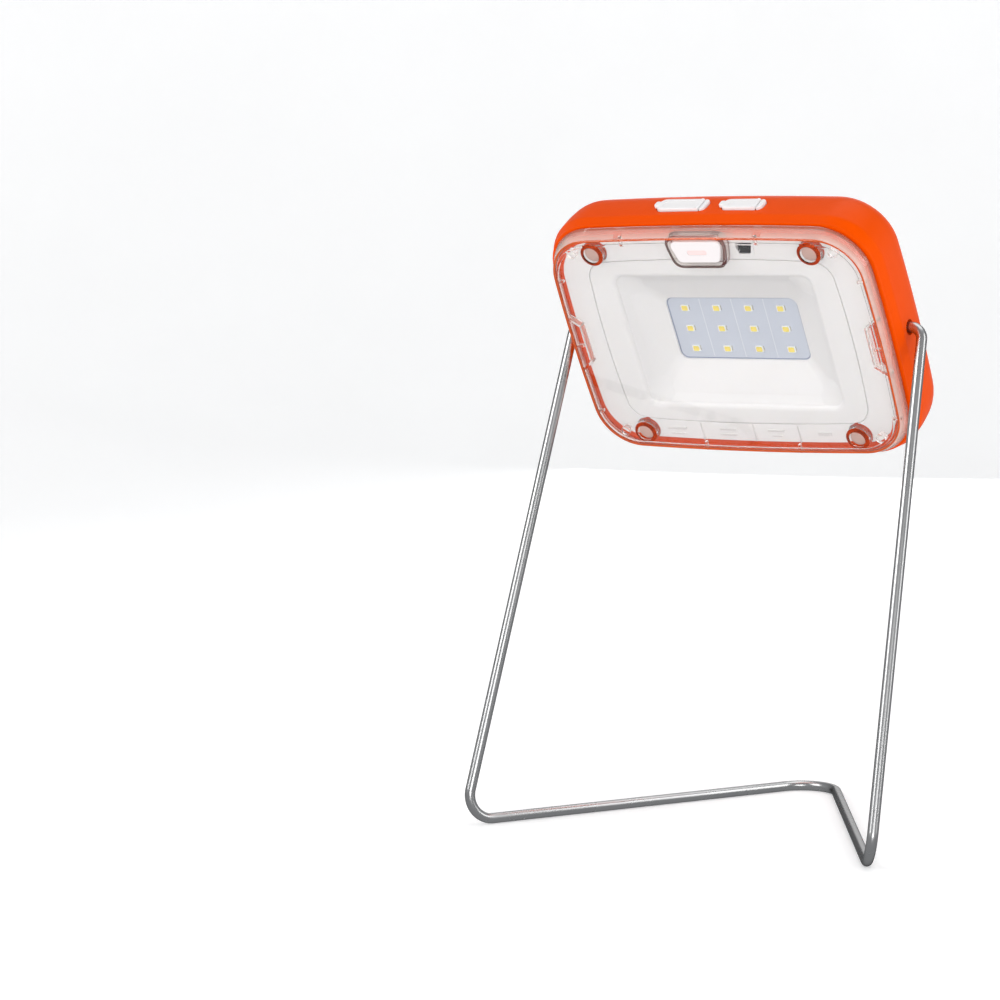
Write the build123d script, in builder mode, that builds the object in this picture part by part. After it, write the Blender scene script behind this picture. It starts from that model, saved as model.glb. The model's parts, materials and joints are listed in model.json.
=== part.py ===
from build123d import *
import os
from math import atan2, cos, degrees, pi, radians, sin

# Solar lantern: a tilting lamp head held between the two ends of one bent wire stand.
# Millimetres. Floor at Z = 0, +Z up. The lamp side faces -Y and down, the solar side faces
# +Y and up, and the head turns about an axis along X. The origin is at the middle of the base.

# Stand
WIRE_D = 4.4
PIVOT_Z = 209.0
FOOT_FRONT = 72.6        # from the pivot axis forward to the two front corners
FOOT_REAR = 84.6         # from the pivot axis back to the point of the foot
FOOT_HALF = 94.15
LEG_TOP_RIGHT = 83.2     # hand-bent wire: its two legs stand off the head by different gaps
LEG_TOP_LEFT = 80.8
SHOULDER_R = 5.6
LEFT_SHOULDER_R = 5.0
CORNER_BEND_R = 10.0
REAR_BEND_R = 15.0
WIRE_END_X = 63.5

# Head
TILT = 30.0              # how far the lamp side looks below the horizon at rest
HEAD_HALF_W = 77.4
HEAD_HALF_H = 57.0
WALL = 2.2
BOW = 1.8                # how far the middle of each side stands out past its corners
CORNER_R = 22.0
REAR_Z = -16.2           # flat bezel around the solar panel
BEVEL_Z = 6.0
RIM_Z = 10.8             # front edge of the housing
FLOOR_Z = -12.4          # inside of the rear wall
PLATE_Z = 12.7           # front of the reflector's plate
PLATE_T = 1.5
LENS_BASE_Z = 11.6
LENS_Z = 17.4
LENS_T = 1.6

# Solar panel
PANEL_W = 113.5
PANEL_H = 68.5
CELL_COLUMNS = 9
CELL_PITCH = 12.34
CELL_W = 10.2
CELL_H = 31.6
CELL_ROW_PITCH = 34.3

# Light
LED_PITCH_X = 15.0
LED_PITCH_Y = 10.0
LED_W = 3.6
LED_H = 2.8
LED_T = 0.8
LED_BOARD_Z = 1.3
LED_BOARD_T = 1.6
DISH_HALF_W = 46.6
DISH_HALF_H = 32.2
APERTURE_HALF_W = 30.8
APERTURE_HALF_H = 15.2

# Fasteners and pivot
SCREW_X = 50.3
SCREW_Y = 44.3
SCREW_D = 2.6
SCREW_HEAD_D = 5.2
WELL_D = 10.4
WELL_BORE_D = 7.4
WELL_FOOT_Z = 11.3
SCREW_SEAT_Z = 12.9
PEG_X = 60.6
BUSH_BORE_R = WIRE_D / 2 + 0.05
BUSH_R = 4.2
BUSH_FROM_X = 67.8
BUSH_TO_X = 74.6
PIVOT_HOLE_R = 3.3

# Ports, on the top wall and on the lamp side
BOARD_TOP_Z = -2.9
BOARD_T = 1.6
BOARD_HALF_W = 36.0
BOARD_Y = 40.0
BOARD_H = 21.0
USB_X = -12.6
TYPE_C_X = 14.6
BOARD_SCREWS = [(-32.0, 34.0), (32.0, 34.0)]
PORT_CENTRE_Z = {"usb_a_shell": 0.0, "type_c_shell": -1.2}
PLUNGER_Z = 9.6
LANYARD_Z = -12.2
LANYARD_KNEE = (63.6, -42.6)
LANYARD_ENDS = [(76.5, -46.5), (65.2, -57.0)]
PORT_Y = 53.0
POCKET_Y = 56.0
COVER_BOTTOM_Y = 56.3
COVER_TOP_Y = 58.3
COVER_AXIS_Y = 57.3
COVER_SHIFT = 1.0        # how far the covers sit behind the middle of the ports
INPUT_X = 20.0
INPUT_Y = 45.0
BUTTON_Y = 45.4
BUTTON_TOP_Z = 17.0
BUTTON_HALF_TOP = 12.4
BUTTON_HALF_BOTTOM = 9.4
BUTTON_HALF_H = 4.9
BAY_MARGIN = 1.3

# Battery
BATTERY_R = 9.2
BATTERY_L = 65.0
BATTERY_Y = -34.0
BATTERY_Z = -2.9
LEAD_D = 1.3

SIDES = (-1, 1)
CORNERS = [(x, y) for x in SIDES for y in SIDES]

os.makedirs("parts", exist_ok=True)


def save(builder, name):
    """Label a finished piece and write it as a STEP file."""
    builder.part.label = name
    export_step(builder.part, "parts/" + name + ".step")


def stand_path(pivot_y):
    """Centre line of the whole wire, from one pivot end round the foot to the other."""
    front_y = pivot_y - FOOT_FRONT
    floor_z = WIRE_D / 2
    corners = [
        (WIRE_END_X, pivot_y, PIVOT_Z),
        (LEG_TOP_RIGHT, pivot_y, PIVOT_Z),
        (FOOT_HALF, front_y, floor_z),
        (0, pivot_y + FOOT_REAR, floor_z),
        (-FOOT_HALF, front_y, floor_z),
        (-LEG_TOP_LEFT, pivot_y, PIVOT_Z),
        (-WIRE_END_X, pivot_y, PIVOT_Z),
    ]
    bends = [SHOULDER_R, CORNER_BEND_R, REAR_BEND_R, CORNER_BEND_R, LEFT_SHOULDER_R]
    with BuildLine() as path:
        FilletPolyline(*corners, radius=bends)
    return path.line


foot_box = stand_path(0).bounding_box()
PIVOT_Y = -(foot_box.min.Y + foot_box.max.Y) / 2
HEAD = Plane(
    origin=(0, PIVOT_Y, PIVOT_Z),
    x_dir=(1, 0, 0),
    z_dir=(0, -cos(radians(TILT)), -sin(radians(TILT))),
)
DEPTH = Axis(HEAD.origin, HEAD.z_dir)


def face(z):
    """Plane across the head at depth z, seen from the lamp side: X right, Y up the head."""
    return HEAD.offset(z)


def top(y):
    """Plane along the head's top wall at height y. Its X is the head's X, its Y is minus depth."""
    return Plane(HEAD.from_local_coords((0, y, 0)), x_dir=HEAD.x_dir, z_dir=HEAD.y_dir)


def side(x):
    """Plane across the pivot axis at x. Its X is the head's Y and its Y is the head's depth."""
    return Plane(HEAD.from_local_coords((x, 0, 0)), x_dir=HEAD.y_dir, z_dir=HEAD.x_dir)


def soft_rectangle(z, half_width, half_height, corner=CORNER_R, bow=BOW):
    """A rounded rectangle with gently bowed sides, across the head at depth z."""
    x = half_width - bow
    y = half_height - bow
    with BuildSketch(face(z)) as outline:
        with BuildLine():
            ThreePointArc((-x, -y), (0, -half_height), (x, -y))
            ThreePointArc((x, -y), (half_width, 0), (x, y))
            ThreePointArc((x, y), (0, half_height), (-x, y))
            ThreePointArc((-x, y), (-half_width, 0), (-x, -y))
        make_face()
        fillet(outline.vertices(), corner)
    return outline.sketch


def trapezoid(z, half_top, half_bottom, y_bottom, y_top, corner):
    """A symmetric trapezoid with rounded corners, wider at its upper edge, at depth z."""
    with BuildSketch(face(z)) as outline:
        with BuildLine():
            Polyline(
                (-half_bottom, y_bottom),
                (half_bottom, y_bottom),
                (half_top, y_top),
                (-half_top, y_top),
                close=True,
            )
        make_face()
        fillet(outline.vertices(), corner)
    return outline.sketch


def button_shape(z, margin=0.0, corner=2.6):
    """The power button's outline grown by a margin, at depth z."""
    return trapezoid(
        z,
        BUTTON_HALF_TOP + margin,
        BUTTON_HALF_BOTTOM + margin,
        BUTTON_Y - BUTTON_HALF_H - margin,
        BUTTON_Y + BUTTON_HALF_H + margin,
        corner + margin,
    )


def dish_sections(grow):
    """The dish's mouth and its opening over the light board, grown by the wall's thickness."""
    sections = []
    for z, half_w, half_h, corner in [
        (PLATE_Z, DISH_HALF_W, DISH_HALF_H, 9.0),
        (LED_BOARD_Z + 0.2, APERTURE_HALF_W, APERTURE_HALF_H, 3.5),
    ]:
        with BuildSketch(face(z)) as section:
            RectangleRounded(2 * (half_w + grow), 2 * (half_h + grow), corner + grow)
        sections.append(section.sketch)
    return sections


def ring(z, height, outer, inner, corner=CORNER_R):
    """A soft-rectangular ring, height tall towards the lamp side from depth z."""
    with BuildPart() as band:
        extrude(soft_rectangle(z, *outer, corner), amount=height)
        extrude(soft_rectangle(z, *inner, corner - outer[0] + inner[0]), amount=height, mode=Mode.SUBTRACT)
    return band.part


# ---------------------------------------------------------------------------- stand

with BuildPart() as wire_stand:
    wire_path = stand_path(PIVOT_Y)
    with BuildSketch(Plane(wire_path @ 0, z_dir=wire_path % 0)):
        Circle(WIRE_D / 2)
    sweep(path=wire_path)
save(wire_stand, "wire_stand")
wire_length = sum(edge.length for edge in wire_path.edges())
print("wire volume over section times length",
      wire_stand.part.volume / (wire_length * pi * WIRE_D**2 / 4))

RETAINER_X = 65.4
with BuildPart() as wire_retainers:
    for hand in SIDES:
        with BuildSketch(side(hand * RETAINER_X)):
            Circle(5.0)
            Circle(WIRE_D / 2, mode=Mode.SUBTRACT)
            with PolarLocations(WIRE_D / 2, 6):
                Rectangle(2.4, 0.6, mode=Mode.SUBTRACT)
        extrude(amount=hand * 0.7)
save(wire_retainers, "wire_retainers")

# ---------------------------------------------------------------------------- housing

OUTER = [
    (REAR_Z, -5.5, -7.5),
    (-13.6, -2.2, -2.7),
    (-9.0, -0.6, -0.7),
    (-2.0, 0.0, 0.0),
    (BEVEL_Z, 0.0, 0.0),
]
COVER_LAYOUT = {
    "usb_cover": (-23.0, -3.9, -0.2, 4.0, USB_X, 11.6, 3.6),
    "type_c_cover": (7.2, 22.2, 25.9, 3.5, TYPE_C_X, 8.0, 2.2),
}

with BuildPart() as shell_blank:
    loft(sections=[soft_rectangle(z, HEAD_HALF_W + w, HEAD_HALF_H + h) for z, w, h in OUTER])
    bevel = [
        soft_rectangle(BEVEL_Z, HEAD_HALF_W, HEAD_HALF_H),
        soft_rectangle(RIM_Z - 0.8, HEAD_HALF_W - 1.6, HEAD_HALF_H - 1.2),
    ]
    loft(sections=bevel, ruled=True)
    extrude(bevel[1], amount=0.8)

with BuildPart() as lanyard_block:
    with BuildSketch(face(FLOOR_Z - 0.5)):
        with BuildLine():
            Polyline((52, -60), (80, -60), (80, -30), (64, -33), (57, -41), close=True)
        make_face()
    extrude(amount=6.5)
    add(shell_blank.part, mode=Mode.INTERSECT)

with BuildPart() as housing:
    add(shell_blank)
    # Hollow inside, from the rear wall to the open front
    hollow = [(FLOOR_Z, -5.0, -5.6), (-8.6, -3.0, -3.2), (-2.0, -WALL, -WALL), (BEVEL_Z, -WALL, -WALL)]
    hollow_sections = [
        soft_rectangle(z, HEAD_HALF_W + w, HEAD_HALF_H + h, CORNER_R - WALL) for z, w, h in hollow
    ]
    loft(sections=hollow_sections, mode=Mode.SUBTRACT)
    mouth = soft_rectangle(RIM_Z, HEAD_HALF_W - 8.2, HEAD_HALF_H - 8.2, CORNER_R - 5)
    loft(sections=[hollow_sections[-1], mouth], ruled=True, mode=Mode.SUBTRACT)
    # Solar side: a rounded bead, a groove and a second fine bead round the flat bezel
    add(ring(REAR_Z - 0.9, 1.2, (71.6, 49.2), (69.9, 47.5), 20))
    fillet(housing.faces().sort_by(DEPTH)[0].edges(), 0.7)
    add(ring(REAR_Z - 0.35, 0.6, (68.6, 46.2), (67.7, 45.3), 18))
    # Pocket for the panel, and the hole for its leads
    with BuildSketch(face(REAR_Z - 1)):
        RectangleRounded(PANEL_W + 1.0, PANEL_H + 1.0, 2.0)
    extrude(amount=1 + 2.9, mode=Mode.SUBTRACT)
    with BuildSketch(face(REAR_Z)):
        with Locations((0, 20)):
            Circle(4.0)
    extrude(amount=8, mode=Mode.SUBTRACT)
    # Corner bosses for the lens screws, and posts for the main board
    with BuildSketch(face(FLOOR_Z - 0.4)):
        with Locations([(x * SCREW_X, y * SCREW_Y) for x, y in CORNERS]):
            Circle(WELL_D / 2)
    extrude(amount=PLATE_Z - PLATE_T - FLOOR_Z + 0.4)
    with BuildSketch(face(FLOOR_Z - 0.4)):
        with Locations(BOARD_SCREWS):
            Circle(3.0)
    extrude(amount=BOARD_TOP_Z - BOARD_T - FLOOR_Z + 0.4)
    # Screw holes
    with BuildSketch(face(PLATE_Z)):
        with Locations([(x * SCREW_X, y * SCREW_Y) for x, y in CORNERS]):
            Circle(SCREW_D / 2)
    extrude(amount=-19, mode=Mode.SUBTRACT)
    with BuildSketch(face(BOARD_TOP_Z)):
        with Locations(BOARD_SCREWS):
            Circle(1.0)
    extrude(amount=-8, mode=Mode.SUBTRACT)
    # Pivot bosses and holes
    for hand in SIDES:
        with BuildSketch(side(hand * BUSH_FROM_X)):
            Circle(BUSH_R + 1.9)
        extrude(amount=hand * (HEAD_HALF_W - 1.2 - BUSH_FROM_X))
    for hand in SIDES:
        with BuildSketch(side(hand * BUSH_FROM_X)):
            Circle(BUSH_R)
        extrude(amount=hand * (BUSH_TO_X - BUSH_FROM_X), mode=Mode.SUBTRACT)
        with BuildSketch(side(hand * BUSH_FROM_X)):
            Circle(PIVOT_HOLE_R)
        extrude(amount=hand * 15, mode=Mode.SUBTRACT)
    # Port windows, and the shallow pockets that their covers close
    for x_left, x_axis, x_right, half_z, x_port, plug_w, plug_h in COVER_LAYOUT.values():
        with BuildSketch(top(POCKET_Y)):
            with Locations(((x_left + x_right) / 2, COVER_SHIFT)):
                RectangleRounded(x_right - x_left + 0.8, 2 * half_z + 0.7, half_z - 0.6)
        extrude(amount=5, mode=Mode.SUBTRACT)
        with BuildSketch(top(POCKET_Y - 4)):
            with Locations((x_port, 0)):
                RectangleRounded(plug_w + 2.4, plug_h + 2.2, 1.4)
        extrude(amount=6, mode=Mode.SUBTRACT)
        with BuildSketch(top(POCKET_Y - 4)):
            with Locations((x_right - 1.2, COVER_SHIFT)):
                Circle(0.9)
        extrude(amount=6, mode=Mode.SUBTRACT)
    # Two slots that meet inside one rear corner, for a lanyard
    add(lanyard_block)
    with BuildSketch(face(LANYARD_Z)):
        for end in LANYARD_ENDS:
            run = Vector(*end) - Vector(*LANYARD_KNEE)
            middle = Vector(*LANYARD_KNEE) + run / 2
            with Locations(Location(middle, degrees(atan2(run.Y, run.X)))):
                SlotOverall(run.length + 4.2, 4.2)
    extrude(amount=2.4, mode=Mode.SUBTRACT)
save(housing, "housing")

with BuildPart() as pivot_bushes:
    for hand in SIDES:
        with BuildSketch(side(hand * (BUSH_FROM_X + 0.2))):
            Circle(BUSH_R)
            Circle(BUSH_BORE_R, mode=Mode.SUBTRACT)
        extrude(amount=hand * (BUSH_TO_X - BUSH_FROM_X - 0.2))
save(pivot_bushes, "pivot_bushes")

# ---------------------------------------------------------------------------- solar panel

PANEL_BACK_Z = REAR_Z + 2.3
with BuildPart() as panel_tape:
    with BuildSketch(face(PANEL_BACK_Z)):
        RectangleRounded(PANEL_W - 2, PANEL_H - 2, 1.5)
        RectangleRounded(PANEL_W - 16, PANEL_H - 16, 1.5, mode=Mode.SUBTRACT)
    extrude(amount=0.6)
save(panel_tape, "panel_tape")

with BuildPart() as solar_panel_board:
    with BuildSketch(face(PANEL_BACK_Z)):
        RectangleRounded(PANEL_W, PANEL_H, 1.5)
    extrude(amount=-1.3)
save(solar_panel_board, "solar_panel_board")

with BuildPart() as solar_cells:
    with BuildSketch(face(PANEL_BACK_Z - 1.3)):
        with GridLocations(CELL_PITCH, CELL_ROW_PITCH, CELL_COLUMNS, 2):
            Rectangle(CELL_W, CELL_H)
    extrude(amount=-0.2)
save(solar_cells, "solar_cells")

with BuildPart() as panel_film:
    with BuildSketch(face(PANEL_BACK_Z - 1.5)):
        RectangleRounded(PANEL_W, PANEL_H, 1.5)
    extrude(amount=-0.5)
    chamfer(panel_film.faces().sort_by(DEPTH)[0].edges(), 0.2)
save(panel_film, "panel_film")

# ---------------------------------------------------------------------------- light

PLATE = (70.0, 49.4)
with BuildPart() as reflector:
    extrude(soft_rectangle(PLATE_Z - PLATE_T, *PLATE, 18), amount=PLATE_T)
    loft(sections=dish_sections(1.7), ruled=True)
    loft(sections=dish_sections(0.0), ruled=True, mode=Mode.SUBTRACT)
    # Fine groove round the dish
    with BuildPart(mode=Mode.PRIVATE) as groove:
        extrude(soft_rectangle(PLATE_Z - 0.3, 58.2, 40.4, 9), amount=1)
        extrude(soft_rectangle(PLATE_Z - 0.3, 57.8, 40.0, 8.6), amount=1, mode=Mode.SUBTRACT)
    add(groove.part, mode=Mode.SUBTRACT)
    # Screw holes, button well and input window
    with BuildSketch(face(PLATE_Z + 1)):
        with Locations([(x * SCREW_X, y * SCREW_Y) for x, y in CORNERS]):
            Circle(WELL_D / 2 + 0.3)
        with Locations((0, BUTTON_Y)):
            RectangleRounded(12, 6.4, 2)
        with Locations((INPUT_X, INPUT_Y)):
            RectangleRounded(8.2, 4.8, 1.2)
    extrude(amount=-4, mode=Mode.SUBTRACT)
    with BuildSketch(face(PLATE_Z)):
        with Locations((INPUT_X, INPUT_Y)):
            RectangleRounded(10.4, 7.0, 2)
            RectangleRounded(8.2, 4.8, 1.2, mode=Mode.SUBTRACT)
        with Locations(*[(x, -46.5) for x in (-24, 1, 22)]):
            Rectangle(0.35, 9)
    extrude(amount=0.3)
save(reflector, "reflector")

with BuildPart() as led_board:
    with BuildSketch(face(LED_BOARD_Z)):
        RectangleRounded(2 * APERTURE_HALF_W + 3, 2 * APERTURE_HALF_H + 3, 4)
    extrude(amount=-LED_BOARD_T)
save(led_board, "led_board")

with BuildPart() as led_packages:
    with BuildSketch(face(LED_BOARD_Z)):
        with GridLocations(LED_PITCH_X, LED_PITCH_Y, 4, 3):
            Rectangle(LED_W, LED_H)
    extrude(amount=LED_T)
    with BuildSketch(face(LED_BOARD_Z + LED_T)):
        with GridLocations(LED_PITCH_X, LED_PITCH_Y, 4, 3):
            RectangleRounded(2.4, 2.0, 0.7)
    extrude(amount=-0.4, mode=Mode.SUBTRACT)
save(led_packages, "led_packages")

with BuildPart() as led_phosphors:
    with BuildSketch(face(LED_BOARD_Z + LED_T - 0.4)):
        with GridLocations(LED_PITCH_X, LED_PITCH_Y, 4, 3):
            RectangleRounded(2.4, 2.0, 0.7)
    extrude(amount=0.35)
save(led_phosphors, "led_phosphors")

# ---------------------------------------------------------------------------- lens

LENS_BASE = (74.6, 55.2)
LENS_FRONT = (72.8, 52.3)
RIB_SLOTS = [(-35.0, 50.6, 0), (27.5, 50.6, 0), (-22.4, -50.6, 0), (22.0, -50.6, 0)]
RIB_SLOTS += [(hand * 70.4, y, 90) for hand in SIDES for y in (31.0, -1.0, -34.0)]
POCKET_WALL = [(72.0, 13), (66.8, 9), (66.8, -9), (72.0, -13)]
with BuildPart() as lens:
    loft(sections=[soft_rectangle(LENS_BASE_Z, *LENS_BASE), soft_rectangle(LENS_Z, *LENS_FRONT, 19)])
    fillet(lens.faces().sort_by(DEPTH)[-1].edges(), 1.2)
    hollow_front = LENS_Z - LENS_T
    loft(
        sections=[
            soft_rectangle(LENS_BASE_Z, LENS_BASE[0] - 1.9, LENS_BASE[1] - 1.9, CORNER_R - 2),
            soft_rectangle(hollow_front, LENS_FRONT[0] - 1.3, LENS_FRONT[1] - 1.0, 18),
        ],
        mode=Mode.SUBTRACT,
    )
    add(ring(LENS_Z - 0.2, 0.5, (71.0, 50.5), (70.2, 49.7), 18))
    # Screw wells down to the bosses, and corner pegs
    with BuildSketch(face(WELL_FOOT_Z)):
        with Locations([(x * SCREW_X, y * SCREW_Y) for x, y in CORNERS]):
            Circle(WELL_D / 2)
    extrude(amount=hollow_front - WELL_FOOT_Z + 0.3)
    with BuildSketch(face(PLATE_Z + 0.3)):
        with Locations([(x * PEG_X, y * SCREW_Y) for x, y in CORNERS]):
            Circle(2.1)
    extrude(amount=hollow_front - PLATE_Z)
    # Ribs between the front and the side walls
    with BuildSketch(face(PLATE_Z + 1.5)):
        for x, y, angle in RIB_SLOTS:
            with Locations(Location((x, y), angle)):
                Rectangle(0.9, 4.2)
    extrude(amount=hollow_front - PLATE_Z - 1.3)
    # Pocket walls beside the two pivots
    for hand in SIDES:
        with BuildSketch(face(PLATE_Z + 0.3)):
            with BuildLine():
                FilletPolyline(*[(hand * x, y) for x, y in POCKET_WALL], radius=1.5)
                offset(amount=0.6, side=Side.BOTH)
            make_face()
        extrude(amount=hollow_front - PLATE_Z)
    # Bay round the power button
    extrude(button_shape(PLATE_Z + 0.3, BAY_MARGIN + 1.3), amount=LENS_Z - PLATE_Z - 0.3)
    extrude(button_shape(PLATE_Z, BAY_MARGIN), amount=10, mode=Mode.SUBTRACT)
    # Wells for the screws, open at the front
    with BuildSketch(face(LENS_Z + 1)):
        with Locations([(x * SCREW_X, y * SCREW_Y) for x, y in CORNERS]):
            Circle(WELL_BORE_D / 2)
    extrude(amount=SCREW_SEAT_Z - LENS_Z - 1, mode=Mode.SUBTRACT)
    with BuildSketch(face(LENS_Z)):
        with Locations([(x * SCREW_X, y * SCREW_Y) for x, y in CORNERS]):
            Circle(1.6)
    extrude(amount=-10, mode=Mode.SUBTRACT)
save(lens, "lens")

with BuildPart() as lens_gasket:
    add(ring(RIM_Z, LENS_BASE_Z - RIM_Z, (74.3, 54.9), (73.0, 53.6), 21))
save(lens_gasket, "lens_gasket")

with BuildPart() as lens_screws:
    with BuildSketch(face(SCREW_SEAT_Z)):
        with Locations([(x * SCREW_X, y * SCREW_Y) for x, y in CORNERS]):
            Circle(SCREW_HEAD_D / 2)
    extrude(amount=1.6)
    fillet(lens_screws.faces().group_by(DEPTH)[-1].edges(), 0.5)
    with BuildSketch(face(SCREW_SEAT_Z + 1.6)):
        with Locations([(x * SCREW_X, y * SCREW_Y) for x, y in CORNERS]):
            Rectangle(3.0, 0.7)
            Rectangle(0.7, 3.0)
    extrude(amount=-1.0, mode=Mode.SUBTRACT)
    with BuildSketch(face(SCREW_SEAT_Z)):
        with Locations([(x * SCREW_X, y * SCREW_Y) for x, y in CORNERS]):
            Circle(SCREW_D / 2 - 0.05)
    extrude(amount=-16)
save(lens_screws, "lens_screws")

with BuildPart() as screw_plugs:
    with BuildSketch(face(SCREW_SEAT_Z + 1.7)):
        with Locations([(x * SCREW_X, y * SCREW_Y) for x, y in CORNERS]):
            Circle(WELL_BORE_D / 2 - 0.1)
    extrude(amount=1.2)
    fillet(screw_plugs.faces().group_by(DEPTH)[-1].edges(), 0.4)
save(screw_plugs, "screw_plugs")

# ---------------------------------------------------------------------------- power button

with BuildPart() as power_button:
    extrude(button_shape(BUTTON_TOP_Z - 2.2), amount=2.2)
    fillet(power_button.faces().sort_by(DEPTH)[-1].edges(), 0.7)
    with BuildSketch(face(BUTTON_TOP_Z)):
        with Locations((0, BUTTON_Y)):
            RectangleRounded(9.0, 2.2, 1.0)
    extrude(amount=-0.8, mode=Mode.SUBTRACT)
    with BuildSketch(face(BUTTON_TOP_Z - 2.2)):
        with Locations((0, BUTTON_Y)):
            RectangleRounded(10.4, 5.0, 1.6)
    extrude(amount=-(BUTTON_TOP_Z - 2.2 - PLUNGER_Z))
save(power_button, "power_button")

with BuildPart() as button_indicator:
    with BuildSketch(face(BUTTON_TOP_Z - 0.8)):
        with Locations((0, BUTTON_Y)):
            RectangleRounded(9.0, 2.2, 1.0)
    extrude(amount=0.7)
save(button_indicator, "button_indicator")

# ---------------------------------------------------------------------------- electronics

with BuildPart() as main_board:
    with BuildSketch(face(BOARD_TOP_Z)):
        with Locations((0, BOARD_Y)):
            RectangleRounded(2 * BOARD_HALF_W, BOARD_H, 1.5)
        with Locations(BOARD_SCREWS):
            Circle(1.2, mode=Mode.SUBTRACT)
    extrude(amount=-BOARD_T)
save(main_board, "main_board")

with BuildPart() as board_screws:
    with BuildSketch(face(BOARD_TOP_Z)):
        with Locations(BOARD_SCREWS):
            Circle(2.1)
    extrude(amount=1.3)
    with BuildSketch(face(BOARD_TOP_Z)):
        with Locations(BOARD_SCREWS):
            Circle(0.95)
    extrude(amount=-7)
save(board_screws, "board_screws")

with BuildPart() as board_components:
    with BuildSketch(face(BOARD_TOP_Z)):
        with Locations((-27, 44), (28.5, 44)):
            Rectangle(5.0, 4.0)
        with Locations((29, 36.5)):
            Rectangle(3.2, 1.6)
        with Locations((-19, 34)):
            Rectangle(4.9, 3.9)
    extrude(amount=1.5)
    with BuildSketch(face(BOARD_TOP_Z)):
        with Locations((-8, 34)):
            RectangleRounded(6.0, 5.6, 1.2)
        with Locations((22, 34)):
            Circle(2.5)
    extrude(amount=2.6)
save(board_components, "board_components")

with BuildPart() as power_switch:
    with BuildSketch(face(BOARD_TOP_Z)):
        with Locations((0, BUTTON_Y)):
            Rectangle(6.0, 6.0)
    extrude(amount=3.5)
save(power_switch, "power_switch")

with BuildPart() as switch_plunger:
    with BuildSketch(face(BOARD_TOP_Z + 3.5)):
        with Locations((0, BUTTON_Y)):
            Circle(1.7)
    extrude(amount=PLUNGER_Z - 1.2 - BOARD_TOP_Z - 3.5)
save(switch_plunger, "switch_plunger")


def port_shell(name, x, width, height, depth, corner, wall):
    """A folded steel port shell that lies on the main board with its mouth at the top wall."""
    with BuildPart() as shell:
        with BuildSketch(top(PORT_Y)):
            with Locations((x, -PORT_CENTRE_Z[name])):
                RectangleRounded(width, height, corner)
        extrude(amount=-depth)
        with BuildSketch(top(PORT_Y)):
            with Locations((x, -PORT_CENTRE_Z[name])):
                RectangleRounded(width - 2 * wall, height - 2 * wall, corner - wall)
        extrude(amount=-(depth - 1.0), mode=Mode.SUBTRACT)
    save(shell, name)


port_shell("usb_a_shell", USB_X, 13.1, 5.7, 13.0, 0.7, 0.35)
port_shell("type_c_shell", TYPE_C_X, 8.9, 3.2, 6.8, 1.55, 0.3)

with BuildPart() as usb_a_tongue:
    with BuildSketch(top(PORT_Y - 12)):
        with Locations((USB_X, -PORT_CENTRE_Z["usb_a_shell"] - 1.2)):
            Rectangle(11.2, 1.8)
    extrude(amount=10.5)
save(usb_a_tongue, "usb_a_tongue")

with BuildPart() as type_c_tongue:
    with BuildSketch(top(PORT_Y - 5.8)):
        with Locations((TYPE_C_X, -PORT_CENTRE_Z["type_c_shell"])):
            Rectangle(6.6, 0.7)
    extrude(amount=4.6)
save(type_c_tongue, "type_c_tongue")

with BuildPart() as socket_riser:
    with BuildSketch(face(BOARD_TOP_Z)):
        with Locations((INPUT_X, INPUT_Y - 0.6)):
            Rectangle(7.4, 2.6)
    extrude(amount=PLATE_Z - 6.5 - BOARD_TOP_Z)
save(socket_riser, "socket_riser")

with BuildPart() as input_socket:
    with BuildSketch(face(PLATE_Z - 6.5)) as socket_outline:
        with Locations((INPUT_X, INPUT_Y)):
            Trapezoid(7.4, 3.8, 62)
        fillet(socket_outline.vertices(), 0.5)
    extrude(amount=6.4)
    with BuildSketch(face(PLATE_Z - 5.7)):
        with Locations((INPUT_X, INPUT_Y)):
            Trapezoid(6.5, 3.1, 62)
    extrude(amount=6, mode=Mode.SUBTRACT)
save(input_socket, "input_socket")

with BuildPart() as input_socket_core:
    with BuildSketch(face(PLATE_Z - 5.7)):
        with Locations((INPUT_X, INPUT_Y)):
            Rectangle(3.6, 0.9)
    extrude(amount=4.4)
save(input_socket_core, "input_socket_core")

# ---------------------------------------------------------------------------- port covers

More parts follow.
